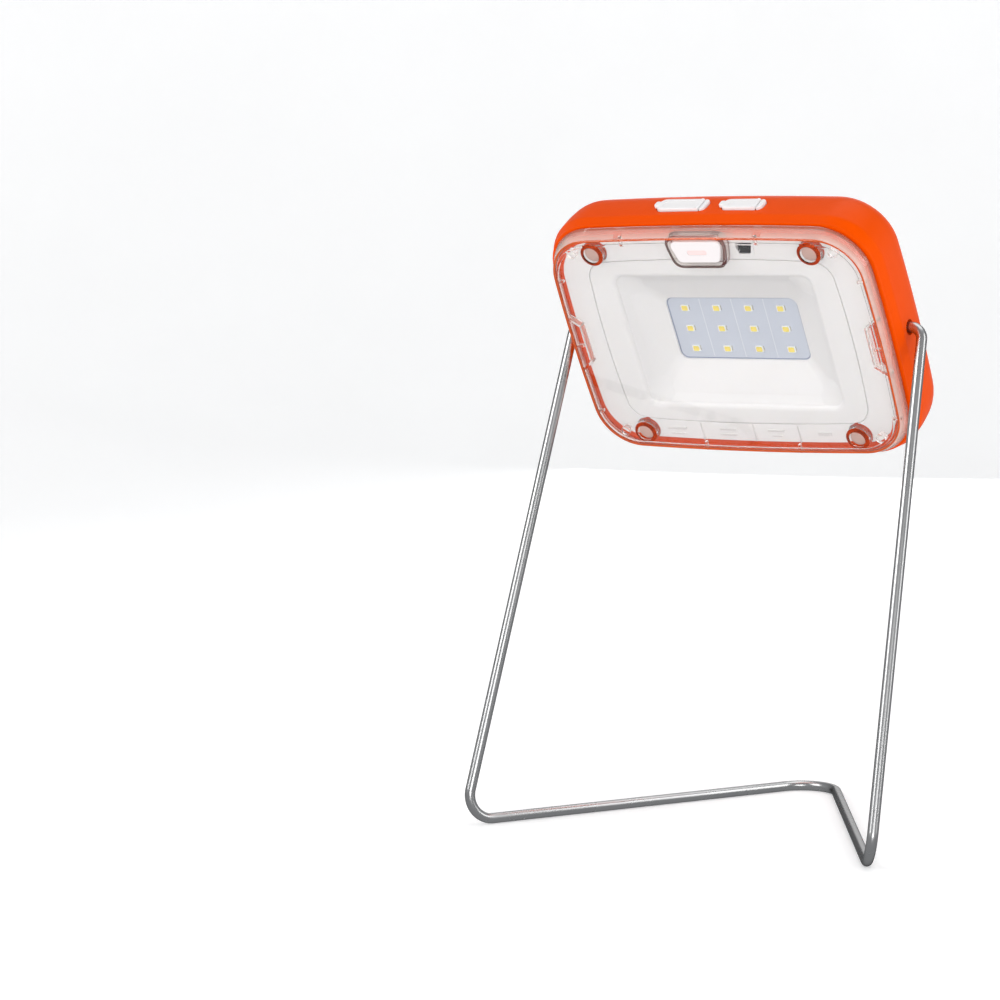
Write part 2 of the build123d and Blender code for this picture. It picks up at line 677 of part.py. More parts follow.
for cover_name, (x_left, x_axis, x_right, half_z, x_port, plug_w, plug_h) in COVER_LAYOUT.items():
    # The flap, with the plug that fills the port window, turns on the line at x_axis
    with BuildPart() as flap:
        with BuildSketch(top(COVER_BOTTOM_Y)):
            with Locations(((x_left + x_axis) / 2, COVER_SHIFT)):
                RectangleRounded(x_axis - x_left, 2 * half_z, half_z - 0.9)
            with Locations(((x_left + 3 * x_axis) / 4, COVER_SHIFT)):
                Rectangle((x_axis - x_left) / 2, 2 * half_z)
        extrude(amount=COVER_TOP_Y - COVER_BOTTOM_Y)
        fillet(flap.faces().sort_by(Axis(HEAD.origin, HEAD.y_dir))[-1].edges(), 0.6)
        with BuildSketch(top(COVER_BOTTOM_Y)):
            with Locations((x_port, 0)):
                RectangleRounded(plug_w, plug_h, 0.8)
        extrude(amount=-1.9)
        with BuildSketch(face(-COVER_SHIFT - half_z)):
            with Locations((x_axis, COVER_AXIS_Y)):
                Circle(1.0)
        extrude(amount=2 * half_z)
        # Pull tab at the free end
        with BuildSketch(top(COVER_BOTTOM_Y + 0.8)):
            with Locations((x_left - 0.2, COVER_SHIFT)):
                RectangleRounded(2.4, 3.6, 1.1)
        extrude(amount=1.4)
    save(flap, cover_name)
    # The rooted end of the same strap, held in the wall by its mushroom foot
    with BuildPart() as anchor:
        with BuildSketch(top(POCKET_Y)):
            with Locations((x_right - 1.1, COVER_SHIFT)):
                RectangleRounded(2.2, 2 * half_z - 4.4, 1.0)
        extrude(amount=1.6)
        with BuildSketch(top(POCKET_Y)):
            with Locations((x_right - 1.2, COVER_SHIFT)):
                Circle(0.85)
        extrude(amount=-2.8)
        with BuildSketch(top(POCKET_Y - 2.6)):
            with Locations((x_right - 1.2, COVER_SHIFT)):
                Circle(1.5)
        extrude(amount=-0.8)
    save(anchor, cover_name + "_anchor")

# ---------------------------------------------------------------------------- battery and leads

with BuildPart() as battery_cell:
    with BuildSketch(side(-BATTERY_L / 2)):
        with Locations((BATTERY_Y, BATTERY_Z)):
            Circle(BATTERY_R)
    extrude(amount=BATTERY_L)
    fillet(battery_cell.edges().filter_by(GeomType.CIRCLE), 0.8)
save(battery_cell, "battery_cell")

with BuildPart() as battery_tabs:
    for hand in SIDES:
        with BuildSketch(side(hand * BATTERY_L / 2)):
            with Locations((BATTERY_Y, BATTERY_Z)):
                Rectangle(5, 12)
        extrude(amount=hand * 0.3)
save(battery_tabs, "battery_tabs")

with BuildPart() as battery_pads:
    for x in (-26, 18):
        with BuildSketch(side(x)):
            with Locations((BATTERY_Y, FLOOR_Z + 2.0)):
                Rectangle(18, 3.9)
            with Locations((BATTERY_Y, BATTERY_Z)):
                Circle(BATTERY_R + 0.03, mode=Mode.SUBTRACT)
        extrude(amount=8)
save(battery_pads, "battery_pads")


def lead_pair(name, spacing, points, bend):
    """Two insulated leads side by side, one unit of spacing apart, along rounded runs."""
    with BuildPart() as leads:
        for hand in SIDES:
            shift = Vector(*spacing) * (hand / 2)
            route = [HEAD.from_local_coords(Vector(*point) + shift) for point in points]
            with BuildLine() as lead_path:
                FilletPolyline(*route, radius=bend)
            with BuildSketch(Plane(lead_path.line @ 0, z_dir=lead_path.line % 0)):
                Circle(LEAD_D / 2)
            sweep(path=lead_path.line)
    save(leads, name)


lead_pair("battery_leads", (0, 0, 1.6),
          [(-33.6, -30.0, 0.0), (-44.0, -30.0, 0.0), (-44.0, 12.0, -1.2), (-31.0, 30.0, -1.2)], 5.0)
lead_pair("solar_leads", (1.6, 0, 0),
          [(0, 20.0, -13.0), (0, 20.0, -8.4), (0, 31.0, -8.4), (0, 31.0, -4.6)], 1.9)
lead_pair("led_leads", (1.6, 0, 0),
          [(20.0, 10.0, -1.2), (20.0, 10.0, -5.2), (20.0, 24.0, -5.2), (20.0, 28.6, -3.0)], 1.4)

print("pivot axis", PIVOT_Y, PIVOT_Z)
for name, layout in COVER_LAYOUT.items():
    print(name, "axis", HEAD.from_local_coords((layout[1], COVER_AXIS_Y, 0)))
print("button", HEAD.from_local_coords((0, BUTTON_Y, BUTTON_TOP_Z)))
print("lamp direction", HEAD.z_dir, "head up", HEAD.y_dir)
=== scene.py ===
"""Looks of the solar lantern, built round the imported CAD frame.

Sizes are metres. Head shapes are made in the head's own axes (X along the pivot, Y up the lamp face,
Z out of the lamp side) and then placed by HEAD, which comes from the frame's joints.
"""
import json
import math

import bmesh  # noqa: E402
import bpy  # noqa: E402
from mathutils import Matrix, Vector  # noqa: E402


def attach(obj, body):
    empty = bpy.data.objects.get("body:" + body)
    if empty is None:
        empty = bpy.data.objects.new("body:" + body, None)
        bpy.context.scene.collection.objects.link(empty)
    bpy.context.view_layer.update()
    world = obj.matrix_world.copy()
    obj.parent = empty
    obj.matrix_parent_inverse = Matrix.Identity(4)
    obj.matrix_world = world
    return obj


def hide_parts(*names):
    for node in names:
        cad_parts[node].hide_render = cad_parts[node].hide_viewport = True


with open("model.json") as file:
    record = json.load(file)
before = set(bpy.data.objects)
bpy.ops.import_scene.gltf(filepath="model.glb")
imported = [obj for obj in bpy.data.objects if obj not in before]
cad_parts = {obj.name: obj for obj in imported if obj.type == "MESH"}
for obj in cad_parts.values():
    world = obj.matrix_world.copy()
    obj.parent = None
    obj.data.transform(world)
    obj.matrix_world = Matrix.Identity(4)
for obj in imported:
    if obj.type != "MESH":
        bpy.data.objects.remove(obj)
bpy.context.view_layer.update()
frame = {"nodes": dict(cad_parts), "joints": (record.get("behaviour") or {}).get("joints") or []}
NODES = frame["nodes"]
JOINTS = {joint["name"]: joint for joint in frame["joints"]}
MM = 0.001

# ------------------------------------------------------------------ the head's axes, from the joints

HEAD_IN = Vector(JOINTS["button_press"]["axis"]).normalized()
HEAD_X = Vector(JOINTS["head_tilt"]["axis"]).normalized()
HEAD_Z = -HEAD_IN
HEAD_Y = HEAD_Z.cross(HEAD_X)
PIVOT = Vector(JOINTS["head_tilt"]["pos_m"])
HEAD = Matrix.Translation(PIVOT) @ Matrix((HEAD_X, HEAD_Y, HEAD_Z)).transposed().to_4x4()
INTO_HEAD = (HEAD @ Matrix.Scale(MM, 4)).inverted()

# ------------------------------------------------------------------ sizes in mm, as designed

HEAD_HALF_W = 77.4
HEAD_HALF_H = 57.0
BOW = 1.8
CORNER_R = 22.0
WALL = 2.2
REAR_Z = -16.2
BEVEL_Z = 6.0
RIM_Z = 10.8
FLOOR_Z = -12.4
PLATE_Z = 12.7
PLATE_T = 1.5
LENS_BASE_Z = 11.6
LENS_Z = 17.4
LENS_T = 1.6
LENS_BASE = (74.6, 55.2)
LENS_FRONT = (72.8, 52.3)
PLATE = (70.0, 49.4)
PANEL_W = 113.5
PANEL_H = 68.5
SCREW_X = 50.3
SCREW_Y = 44.3
PEG_X = 60.6
WELL_D = 10.4
WELL_BORE_D = 7.4
WELL_FOOT_Z = 11.15
SCREW_SEAT_Z = 12.9
DISH = (46.6, 32.2)
APERTURE = (30.8, 15.2)
LED_BOARD_Z = 1.3
BUTTON_Y = 45.4
BUTTON_TOP_Z = 17.0
BUTTON_HALF_TOP = 12.4
BUTTON_HALF_BOTTOM = 9.4
BUTTON_HALF_H = 4.9
BAY_MARGIN = 1.3
INPUT = (20.0, 45.0)
WIRE_R = 2.2

SIDES = (-1, 1)
CORNERS = [(x, y) for x in SIDES for y in SIDES]


# ------------------------------------------------------------------ mesh helpers


def make_object(name, bm):
    """An object from a bmesh given in millimetres and head axes."""
    bmesh.ops.remove_doubles(bm, verts=bm.verts, dist=1e-4)
    bmesh.ops.recalc_face_normals(bm, faces=bm.faces)
    mesh = bpy.data.meshes.new(name)
    bm.to_mesh(mesh)
    bm.free()
    mesh.transform(HEAD @ Matrix.Scale(MM, 4))
    obj = bpy.data.objects.new(name, mesh)
    bpy.context.scene.collection.objects.link(obj)
    return obj


def smooth(obj, angle=32.0):
    """Shade smooth, with edges sharper than the angle kept hard."""
    mesh = obj.data
    mesh.polygons.foreach_set("use_smooth", [True] * len(mesh.polygons))
    mesh.set_sharp_from_angle(angle=math.radians(angle))
    weighted = obj.modifiers.new("weighted_normals", "WEIGHTED_NORMAL")
    weighted.keep_sharp = True
    return obj


def circle_meeting(c1, r1, c2, r2):
    """The upper right point at distance r1 from c1 and r2 from c2."""
    gap = c2 - c1
    d = gap.length
    along = (d * d + r1 * r1 - r2 * r2) / (2 * d)
    across = math.sqrt(max(r1 * r1 - along * along, 0.0))
    middle = c1 + gap * (along / d)
    normal = Vector((-gap.y, gap.x)) / d
    found = [middle + normal * across, middle - normal * across]
    return max(found, key=lambda p: p.x + p.y)


def outline(half_w, half_h, corner, bow=BOW, side_steps=14, corner_steps=12):
    """Points round a rounded rectangle with bowed sides, anticlockwise from its right side's middle."""
    reach_x = half_w - bow
    reach_y = half_h - bow
    right_r = (reach_y**2 + bow**2) / (2 * bow)
    top_r = (reach_x**2 + bow**2) / (2 * bow)
    right_c = Vector((half_w - right_r, 0))
    top_c = Vector((0, half_h - top_r))
    centre = circle_meeting(right_c, right_r - corner, top_c, top_r - corner)
    from_angle = math.atan2(centre.y - right_c.y, centre.x - right_c.x)
    to_angle = math.atan2(centre.y - top_c.y, centre.x - top_c.x)
    quarter = []
    for i in range(side_steps):
        a = from_angle * i / side_steps
        quarter.append(right_c + right_r * Vector((math.cos(a), math.sin(a))))
    for i in range(corner_steps):
        a = from_angle + (to_angle - from_angle) * i / corner_steps
        quarter.append(centre + corner * Vector((math.cos(a), math.sin(a))))
    for i in range(side_steps):
        a = to_angle + (math.pi / 2 - to_angle) * i / side_steps
        quarter.append(top_c + top_r * Vector((math.cos(a), math.sin(a))))
    quarter.append(Vector((0, half_h)))
    left = [Vector((-p.x, p.y)) for p in reversed(quarter[:-1])]
    lower = [Vector((-p.x, -p.y)) for p in (quarter + left)[1:-1]]
    return quarter + left + lower


def bridge(bm, rings, loop=False):
    """Faces between successive rings: a loop joins the last to the first, else both ends are capped."""
    rows = [[bm.verts.new(p) for p in ring] for ring in rings]
    count = len(rows[0])
    for row, following in zip(rows, rows[1:] + (rows[:1] if loop else [])):
        for i in range(count):
            j = (i + 1) % count
            bm.faces.new((row[i], row[j], following[j], following[i]))
    if not loop:
        bm.faces.new(list(reversed(rows[0])))
        bm.faces.new(rows[-1])


def soft_ring(half_w, half_h, z, corner, bow=BOW):
    """One ring of 3D points on a bowed rounded rectangle."""
    return [Vector((p.x, p.y, z)) for p in outline(half_w, half_h, corner, bow)]


def upright(p):
    """Sketch X and Y stay the head's, and height is depth."""
    return Vector(p)


def on_top(p):
    """For shapes raised from the top wall: height is the head's Y."""
    return Vector((p[0], p[2], -p[1]))


def on_side(p):
    """For shapes raised along the pivot axis: sketch X is the head's Y."""
    return Vector((p[2], p[0], p[1]))


def level(shape, z, margin=0.0, place=upright):
    """One ring of 3D points on a shape at height z."""
    return [place((p[0], p[1], z)) for p in shape(margin)]


def prism(bm, shape, low, high, edge=0.0, place=upright, steps=4):
    """A closed prism over shape(margin), a 2D outline that can shrink, its far rim rounded by edge."""
    levels = [(0.0, low)]
    if edge > 0:
        sign = 1 if high > low else -1
        for k in range(steps + 1):
            a = math.pi / 2 * k / steps
            levels.append((-edge * (1 - math.cos(a)), high - sign * edge * (1 - math.sin(a))))
    else:
        levels.append((0.0, high))
    bridge(bm, [level(shape, z, margin, place) for margin, z in levels])


def disc(x, y, radius, count=40):
    """A circle as a shape that can shrink."""
    turns = [2 * math.pi * i / count for i in range(count)]

    def ring(margin):
        reach = radius + margin
        return [(x + reach * math.cos(a), y + reach * math.sin(a)) for a in turns]

    return ring


def slab(x, y, width, height, radius=0.0, angle=0.0):
    """A rounded rectangle as a shape that can shrink."""
    return lambda margin: box_points(
        x, y, width + 2 * margin, height + 2 * margin, max(radius + margin, 0.0), angle
    )


def strip(points, half_width):
    """A bent strip along an open polyline, mitred at its corners."""
    left = []
    right = []
    for i, point in enumerate(points):
        here = Vector(point)
        before = (here - Vector(points[i - 1])).normalized() if i > 0 else None
        after = (Vector(points[i + 1]) - here).normalized() if i < len(points) - 1 else None
        along = ((before or after) + (after or before)).normalized()
        normal = Vector((-along.y, along.x))
        lean = (before or after).dot(along)
        left.append(tuple(here + normal * half_width / lean))
        right.append(tuple(here - normal * half_width / lean))
    outline_points = left + right[::-1]
    return lambda margin: outline_points


def box_points(x, y, width, height, radius=0.0, angle=0.0, steps=5):
    """A rectangle's outline with rounded corners, turned by angle degrees about its middle."""
    half_w = width / 2
    half_h = height / 2
    points = []
    for index, (sx, sy) in enumerate([(1, 1), (-1, 1), (-1, -1), (1, -1)]):
        cx = sx * (half_w - radius)
        cy = sy * (half_h - radius)
        turns = [math.pi / 2 * (index + k / steps) for k in range(steps + 1)] if radius > 0 else [0.0]
        points += [Vector((cx + radius * math.cos(a), cy + radius * math.sin(a))) for a in turns]
    turn = Matrix.Rotation(math.radians(angle), 2)
    return [tuple(turn @ p + Vector((x, y))) for p in points]


def rounded_polygon(corners, radius, steps=6):
    """A closed polygon with every corner rounded by the same radius."""
    points = []
    count = len(corners)
    for i in range(count):
        here = Vector(corners[i])
        before = Vector(corners[i - 1]) - here
        after = Vector(corners[(i + 1) % count]) - here
        reach = radius / math.tan(before.angle(after) / 2)
        a = here + before.normalized() * reach
        b = here + after.normalized() * reach
        for k in range(steps + 1):
            t = k / steps
            points.append(tuple(a.lerp(here, t).lerp(here.lerp(b, t), t)))
    return points


def button_shape(grow=0.0, radius=2.6):
    """The button's trapezoid, grown by a margin, as a shape that can shrink."""
    return lambda margin: button_outline(grow + margin, radius + grow + margin)


def button_outline(margin, radius):
    """The button as a trapezoid with rounded corners, wider at its top, grown by a margin."""
    top_y = BUTTON_Y + BUTTON_HALF_H + margin
    bottom_y = BUTTON_Y - BUTTON_HALF_H - margin
    half_top = BUTTON_HALF_TOP + margin
    half_bottom = BUTTON_HALF_BOTTOM + margin
    corners = [(half_bottom, bottom_y), (half_top, top_y), (-half_top, top_y), (-half_bottom, bottom_y)]
    return rounded_polygon(corners, radius)


def cut(obj, tool, operation="DIFFERENCE"):
    """Apply one exact boolean of a tool object to an object, and remove the tool."""
    modifier = obj.modifiers.new("cut", "BOOLEAN")
    modifier.operation = operation
    modifier.solver = "EXACT"
    modifier.object = tool
    bpy.context.view_layer.update()
    depsgraph = bpy.context.evaluated_depsgraph_get()
    mesh = bpy.data.meshes.new_from_object(obj.evaluated_get(depsgraph))
    obj.modifiers.clear()
    old = obj.data
    obj.data = mesh
    mesh.name = obj.name
    bpy.data.meshes.remove(old)
    bpy.data.objects.remove(tool)
    return obj


# ------------------------------------------------------------------ materials


def material(name):
    """A new material with an empty Principled shader."""
    mat = bpy.data.materials.new(name)
    mat.use_nodes = True
    nodes = mat.node_tree.nodes
    nodes.clear()
    output = nodes.new("ShaderNodeOutputMaterial")
    shader = nodes.new("ShaderNodeBsdfPrincipled")
    mat.node_tree.links.new(shader.outputs[0], output.inputs[0])
    return mat, nodes, mat.node_tree.links, shader


def srgb(red, green, blue):
    """A screen colour, 0 to 255, as the linear values that shaders use."""
    values = [c / 255 for c in (red, green, blue)]
    return tuple(c / 12.92 if c <= 0.04045 else ((c + 0.055) / 1.055) ** 2.4 for c in values)


def object_coordinates(nodes):
    """Texture coordinates that stay with the piece as it moves."""
    return nodes.new("ShaderNodeTexCoord").outputs["Object"]


def noise(nodes, links, scale, detail=4.0, roughness=0.5, stretch=(1, 1, 1)):
    """Noise over the object's own coordinates, in features per metre."""
    mapping = nodes.new("ShaderNodeMapping")
    mapping.inputs["Scale"].default_value = stretch
    links.new(object_coordinates(nodes), mapping.inputs["Vector"])
    texture = nodes.new("ShaderNodeTexNoise")
    texture.inputs["Scale"].default_value = scale
    texture.inputs["Detail"].default_value = detail
    texture.inputs["Roughness"].default_value = roughness
    links.new(mapping.outputs[0], texture.inputs["Vector"])
    return texture.outputs["Fac"]


def ramp(nodes, links, source, stops):
    """A colour ramp from (position, colour) stops."""
    node = nodes.new("ShaderNodeValToRGB")
    elements = node.color_ramp.elements
    while len(elements) < len(stops):
        elements.new(0.5)
    for element, (position, colour) in zip(elements, stops):
        element.position = position
        element.color = colour if len(colour) == 4 else (*colour, 1.0)
    links.new(source, node.inputs[0])
    return node.outputs[0]


def spread(nodes, links, source, low, high):
    """Remap 0..1 to low..high."""
    node = nodes.new("ShaderNodeMapRange")
    node.inputs["To Min"].default_value = low
    node.inputs["To Max"].default_value = high
    links.new(source, node.inputs[0])
    return node.outputs[0]


def bump(nodes, links, shader, source, height, strength=1.0):
    """Fine relief on a shader, from a grey value."""
    node = nodes.new("ShaderNodeBump")
    node.inputs["Distance"].default_value = height
    node.inputs["Strength"].default_value = strength
    links.new(source, node.inputs["Height"])
    links.new(node.outputs[0], shader.inputs["Normal"])


def moulded(name, colour, roughness, grain=900.0, grain_height=0.00003, vary=0.06, coat=0.0, shine=0.5,
            subsurface=0.0, tint=(1, 1, 1)):
    """Moulded plastic: faint colour variation, fine moulding grain and a slightly uneven gloss."""
    mat, nodes, links, shader = material(name)
    tone = noise(nodes, links, 28.0, 3.0)
    dark = tuple(c * (1 - vary) for c in colour)
    links.new(ramp(nodes, links, tone, [(0.3, dark), (0.7, colour)]), shader.inputs["Base Color"])
    gloss = noise(nodes, links, 60.0, 5.0, 0.6)
    links.new(spread(nodes, links, gloss, roughness - 0.05, roughness + 0.06), shader.inputs["Roughness"])
    bump(nodes, links, shader, noise(nodes, links, grain, 2.0), grain_height)
    shader.inputs["Specular IOR Level"].default_value = shine
    shader.inputs["Specular Tint"].default_value = (*tint, 1)
    shader.inputs["Coat Weight"].default_value = coat
    shader.inputs["Coat Roughness"].default_value = 0.12
    if subsurface > 0:
        shader.inputs["Subsurface Weight"].default_value = subsurface
        shader.inputs["Subsurface Radius"].default_value = (0.002, 0.0015, 0.001)
        shader.inputs["Subsurface Scale"].default_value = 1.0
    return mat


def metal(name, colour, roughness, brushed=(1, 1, 1), scale=400.0, height=0.00001, vary=0.12, edge=1.0):
    """Metal with drawn or rolled streaks. edge below 1 darkens what it reflects at grazing angles."""
    mat, nodes, links, shader = material(name)
    streaks = noise(nodes, links, scale, 4.0, 0.6, brushed)
    dark = tuple(c * (1 - vary) for c in colour)
    links.new(ramp(nodes, links, streaks, [(0.3, dark), (0.7, colour)]), shader.inputs["Base Color"])
    links.new(spread(nodes, links, streaks, roughness * 0.8, roughness * 1.3), shader.inputs["Roughness"])
    shader.inputs["Metallic"].default_value = 1.0
    shader.inputs["Specular Tint"].default_value = (edge, edge, edge, 1)
    bump(nodes, links, shader, streaks, height)
    return mat


def clear(name, colour, roughness, ior, milky=0.0, milk_and_glow=(1, 1, 1)):
    """Clear plastic that lets the light of lamps through; faces can be milky by their "milky" attribute."""
    mat, nodes, links, shader = material(name)
    shader.inputs["Base Color"].default_value = (*colour, 1)
    shader.inputs["Transmission Weight"].default_value = 1.0
    shader.inputs["IOR"].default_value = ior
    haze = noise(nodes, links, 40.0, 3.0)
    links.new(spread(nodes, links, haze, roughness * 0.6, roughness * 1.6), shader.inputs["Roughness"])
    output = next(n for n in nodes if n.type == "OUTPUT_MATERIAL")
    through = nodes.new("ShaderNodeBsdfTransparent")
    through.inputs["Color"].default_value = (1, 1, 1, 1)
    path = nodes.new("ShaderNodeLightPath")
    mix = nodes.new("ShaderNodeMixShader")
    links.new(path.outputs["Is Shadow Ray"], mix.inputs[0])
    links.new(shader.outputs[0], mix.inputs[1])
    links.new(through.outputs[0], mix.inputs[2])
    if milky > 0:
        # where the milk colour is tinted it is painted light: it stands in for light from the parts behind,
        # scattered through the frosted wall
        cloud = nodes.new("ShaderNodeBsdfDiffuse")
        cloud.inputs["Color"].default_value = (*milk_and_glow, 1)
        clouded = nodes.new("ShaderNodeMixShader")
        amount = nodes.new("ShaderNodeAttribute")
        amount.attribute_name = "milky"
        links.new(spread(nodes, links, amount.outputs["Fac"], 0.0, milky), clouded.inputs[0])
        links.new(shader.outputs[0], clouded.inputs[1])
        links.new(cloud.outputs[0], clouded.inputs[2])
        links.new(clouded.outputs[0], mix.inputs[1])
    links.new(mix.outputs[0], output.inputs[0])
    return mat


def coloured(obj, mat):
    """Give an object one material."""
    obj.data.materials.clear()
    obj.data.materials.append(mat)
    return obj


def finished(obj, mat, slot, body="head", replaces=(), angle=32.0):
    """Shade a piece, give it its material, tie it to its body and hide the CAD nodes it replaces; slot is
    not used.
    """
    smooth(obj, angle)
    coloured(obj, mat)
    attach(obj, body)
    for node in replaces:
        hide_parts(node)
    return obj


def small_piece(name, build, mat, slot, **options):
    """A finished piece from one function that fills a bmesh."""
    bm = bmesh.new()
    build(bm)
    return finished(make_object(name, bm), mat, slot, **options)


# ------------------------------------------------------------------ housing


def flowing(points, steps=5):
    """A smooth run through (half width, half height, depth, corner) points."""
    path = []
    ends = [points[0]] + points + [points[-1]]
    for p0, p1, p2, p3 in zip(ends, ends[1:], ends[2:], ends[3:]):
        for k in range(steps):
            t = k / steps
            path.append(tuple(
                0.5 * (2 * b + (c - a) * t + (2 * a - 5 * b + 4 * c - d) * t * t
                       + (3 * b - a - 3 * c + d) * t**3)
                for a, b, c, d in zip(p0, p1, p2, p3)
            ))
    path.append(points[-1])
    return path


COVERS = {
    "usb_cover": dict(left=-23.0, axis=-3.9, right=-0.2, half_z=4.0, port=-12.6, plug=(11.6, 3.6)),
    "type_c_cover": dict(left=7.2, axis=22.2, right=25.9, half_z=3.5, port=14.6, plug=(8.0, 2.2)),
}
POCKET_Y = 56.0
COVER_BOTTOM_Y = 56.3
COVER_TOP_Y = 58.3
COVER_AXIS_Y = 57.3
COVER_SHIFT = 1.0
PANEL_POCKET_Z = -13.3
LANYARD_Z = -12.2
LANYARD_PATH = [(76.5, -46.5), (63.6, -42.6), (65.2, -57.0)]


def bead(half_w, half_h, width, height, z, corner, steps=6):
    """Rings over a half-round ridge towards the solar side, from its inner to its outer foot."""
    rings = []
    for k in range(steps + 1):
        a = math.pi * k / steps
        out = width * (1 - math.cos(a)) / 2
        rings.append((half_w + out, half_h + out, z - height * math.sin(a), corner + out))
    return rings


def housing_rings():
    """The orange shell as rings, from the panel pocket round the outside to the hollow inside."""
    pocket = (PANEL_W / 2 + 0.5, PANEL_H / 2 + 0.5)
    rows = [soft_ring(*pocket, z, 2.0, 0.01) for z in (PANEL_POCKET_Z, REAR_Z + 0.45)]
    rows += [soft_ring(pocket[0] + g, pocket[1] + g, REAR_Z + 0.45 - h, 2.0 + g, 0.01)
             for g, h in ((0.12, 0.30), (0.45, 0.45))]
    flat = [(64.0, 41.6, REAR_Z, 15.0)]
    flat += bead(67.5, 45.1, 1.1, 0.4, REAR_Z, 18.0)
    flat += [(68.9, 46.5, REAR_Z + 0.25, 18.4), (69.5, 47.1, REAR_Z + 0.25, 18.8)]
    flat += bead(69.8, 47.4, 2.0, 0.9, REAR_Z, 19.0, 10)[:-1]
    wall = flowing([
        (71.9, 49.5, REAR_Z + 0.25, 20.2), (75.1, 54.15, -13.5, 21.2), (76.8, 56.3, -9.0, 21.8),
        (HEAD_HALF_W, HEAD_HALF_H, -2.0, CORNER_R), (HEAD_HALF_W, HEAD_HALF_H, BEVEL_Z - 0.6, CORNER_R),
    ])
    # Bevel, short straight band and rounded front edge, as (inset x, inset y, depth, corner)
    front = [
        (0.1, 0.1, BEVEL_Z, CORNER_R),
        (0.3, 0.25, BEVEL_Z + 0.7, CORNER_R),
        (1.35, 0.95, RIM_Z - 1.4, CORNER_R),
        (1.55, 1.15, RIM_Z - 0.9, CORNER_R),
        (1.6, 1.2, RIM_Z - 0.3, CORNER_R),
        (1.75, 1.35, RIM_Z - 0.05, CORNER_R),
        (2.0, 1.6, RIM_Z, CORNER_R - 0.5),
        (7.9, 7.9, RIM_Z, CORNER_R - 5),
        (8.2, 8.2, RIM_Z - 0.3, CORNER_R - 5),
        (WALL, WALL, BEVEL_Z, CORNER_R - WALL),
        (WALL, WALL, -2.0, CORNER_R - WALL),
        (3.0, 3.2, -8.6, CORNER_R - WALL),
        (5.0, 5.6, FLOOR_Z, CORNER_R - WALL),
    ]
    front = [(HEAD_HALF_W - w, HEAD_HALF_H - h, z, corner) for w, h, z, corner in front]
    rows += [soft_ring(w, h, z, corner) for w, h, z, corner in flat + wall + front]
    return rows


def make_housing():
    """The orange shell, with its bosses, lens pads, lanyard corner, port pockets and windows."""
    bm = bmesh.new()
    bridge(bm, housing_rings())
    shell = make_object("housing_shell", bm)
    bosses = bmesh.new()
    for hand in SIDES:
        prism(bosses, disc(0, 0, 6.1), hand * 67.8, hand * 76.2, place=on_side)
    for x, y in CORNERS:
        prism(bosses, disc(x * SCREW_X, y * SCREW_Y, WELL_D / 2), FLOOR_Z - 0.4, PLATE_Z - PLATE_T)
    for hand in SIDES:
        prism(bosses, slab(hand * 68.6, 0, 5.2, 22.4), RIM_Z - 1.4, RIM_Z - 0.02)
    cut(shell, make_object("bosses", bosses), "UNION")
    block = bmesh.new()
    bridge(block, [soft_ring(HEAD_HALF_W - 3, HEAD_HALF_H - 3, z, CORNER_R - 3) for z in (-13.4, -6.4)])
    corner = bmesh.new()
    prism(corner, lambda margin: [(52, -60), (80, -60), (80, -30), (64, -33), (57, -41)], -20, 0)
    block = cut(make_object("block", block), make_object("corner", corner), "INTERSECT")
    cut(shell, block, "UNION")
    holes = bmesh.new()
    for hand in SIDES:
        prism(holes, disc(0, 0, 4.2), hand * 66.0, hand * 74.6, place=on_side)
        prism(holes, disc(0, 0, 3.3), hand * 74.7, hand * 80.0, place=on_side)
    for x, y in CORNERS:
        prism(holes, disc(x * SCREW_X, y * SCREW_Y, 1.3), -6.2, PLATE_Z)
    for cover in COVERS.values():
        width = cover["right"] - cover["left"] + 0.8
        middle = (cover["left"] + cover["right"]) / 2
        prism(holes, slab(middle, COVER_SHIFT, width, 2 * cover["half_z"] + 0.7, cover["half_z"] - 0.6),
              POCKET_Y, 60, place=on_top)
    cut(shell, make_object("holes", holes))
    windows = bmesh.new()
    for cover in COVERS.values():
        prism(windows, slab(cover["port"], 0, cover["plug"][0] + 2.4, cover["plug"][1] + 2.2, 1.4),
              POCKET_Y - 5, POCKET_Y + 0.6, place=on_top)
    cut(shell, make_object("windows", windows))
    tunnel = bmesh.new()
    prism(tunnel, strip(LANYARD_PATH, 2.1), LANYARD_Z, LANYARD_Z + 2.4)
    cut(shell, make_object("tunnel", tunnel))
    return finished(shell, ORANGE, "orange_shell", replaces=["housing"])


# ------------------------------------------------------------------ lens, reflector and light


POCKET_WALL = [(72.0, 13.0), (66.8, 9.0), (66.8, -9.0), (72.0, -13.0)]
POCKET_NOTCH = [(72.0, 12.6), (67.0, 8.8), (67.0, -8.8), (72.0, -12.6)]
RIBS = [(-35.0, 50.6, 0.9, 4.2), (27.5, 50.6, 0.9, 4.2), (-22.4, -50.6, 0.9, 4.2), (22.0, -50.6, 0.9, 4.2)]
RIBS += [(hand * 70.4, y, 4.2, 0.9) for hand in SIDES for y in (31.0, -1.0, -34.0)]


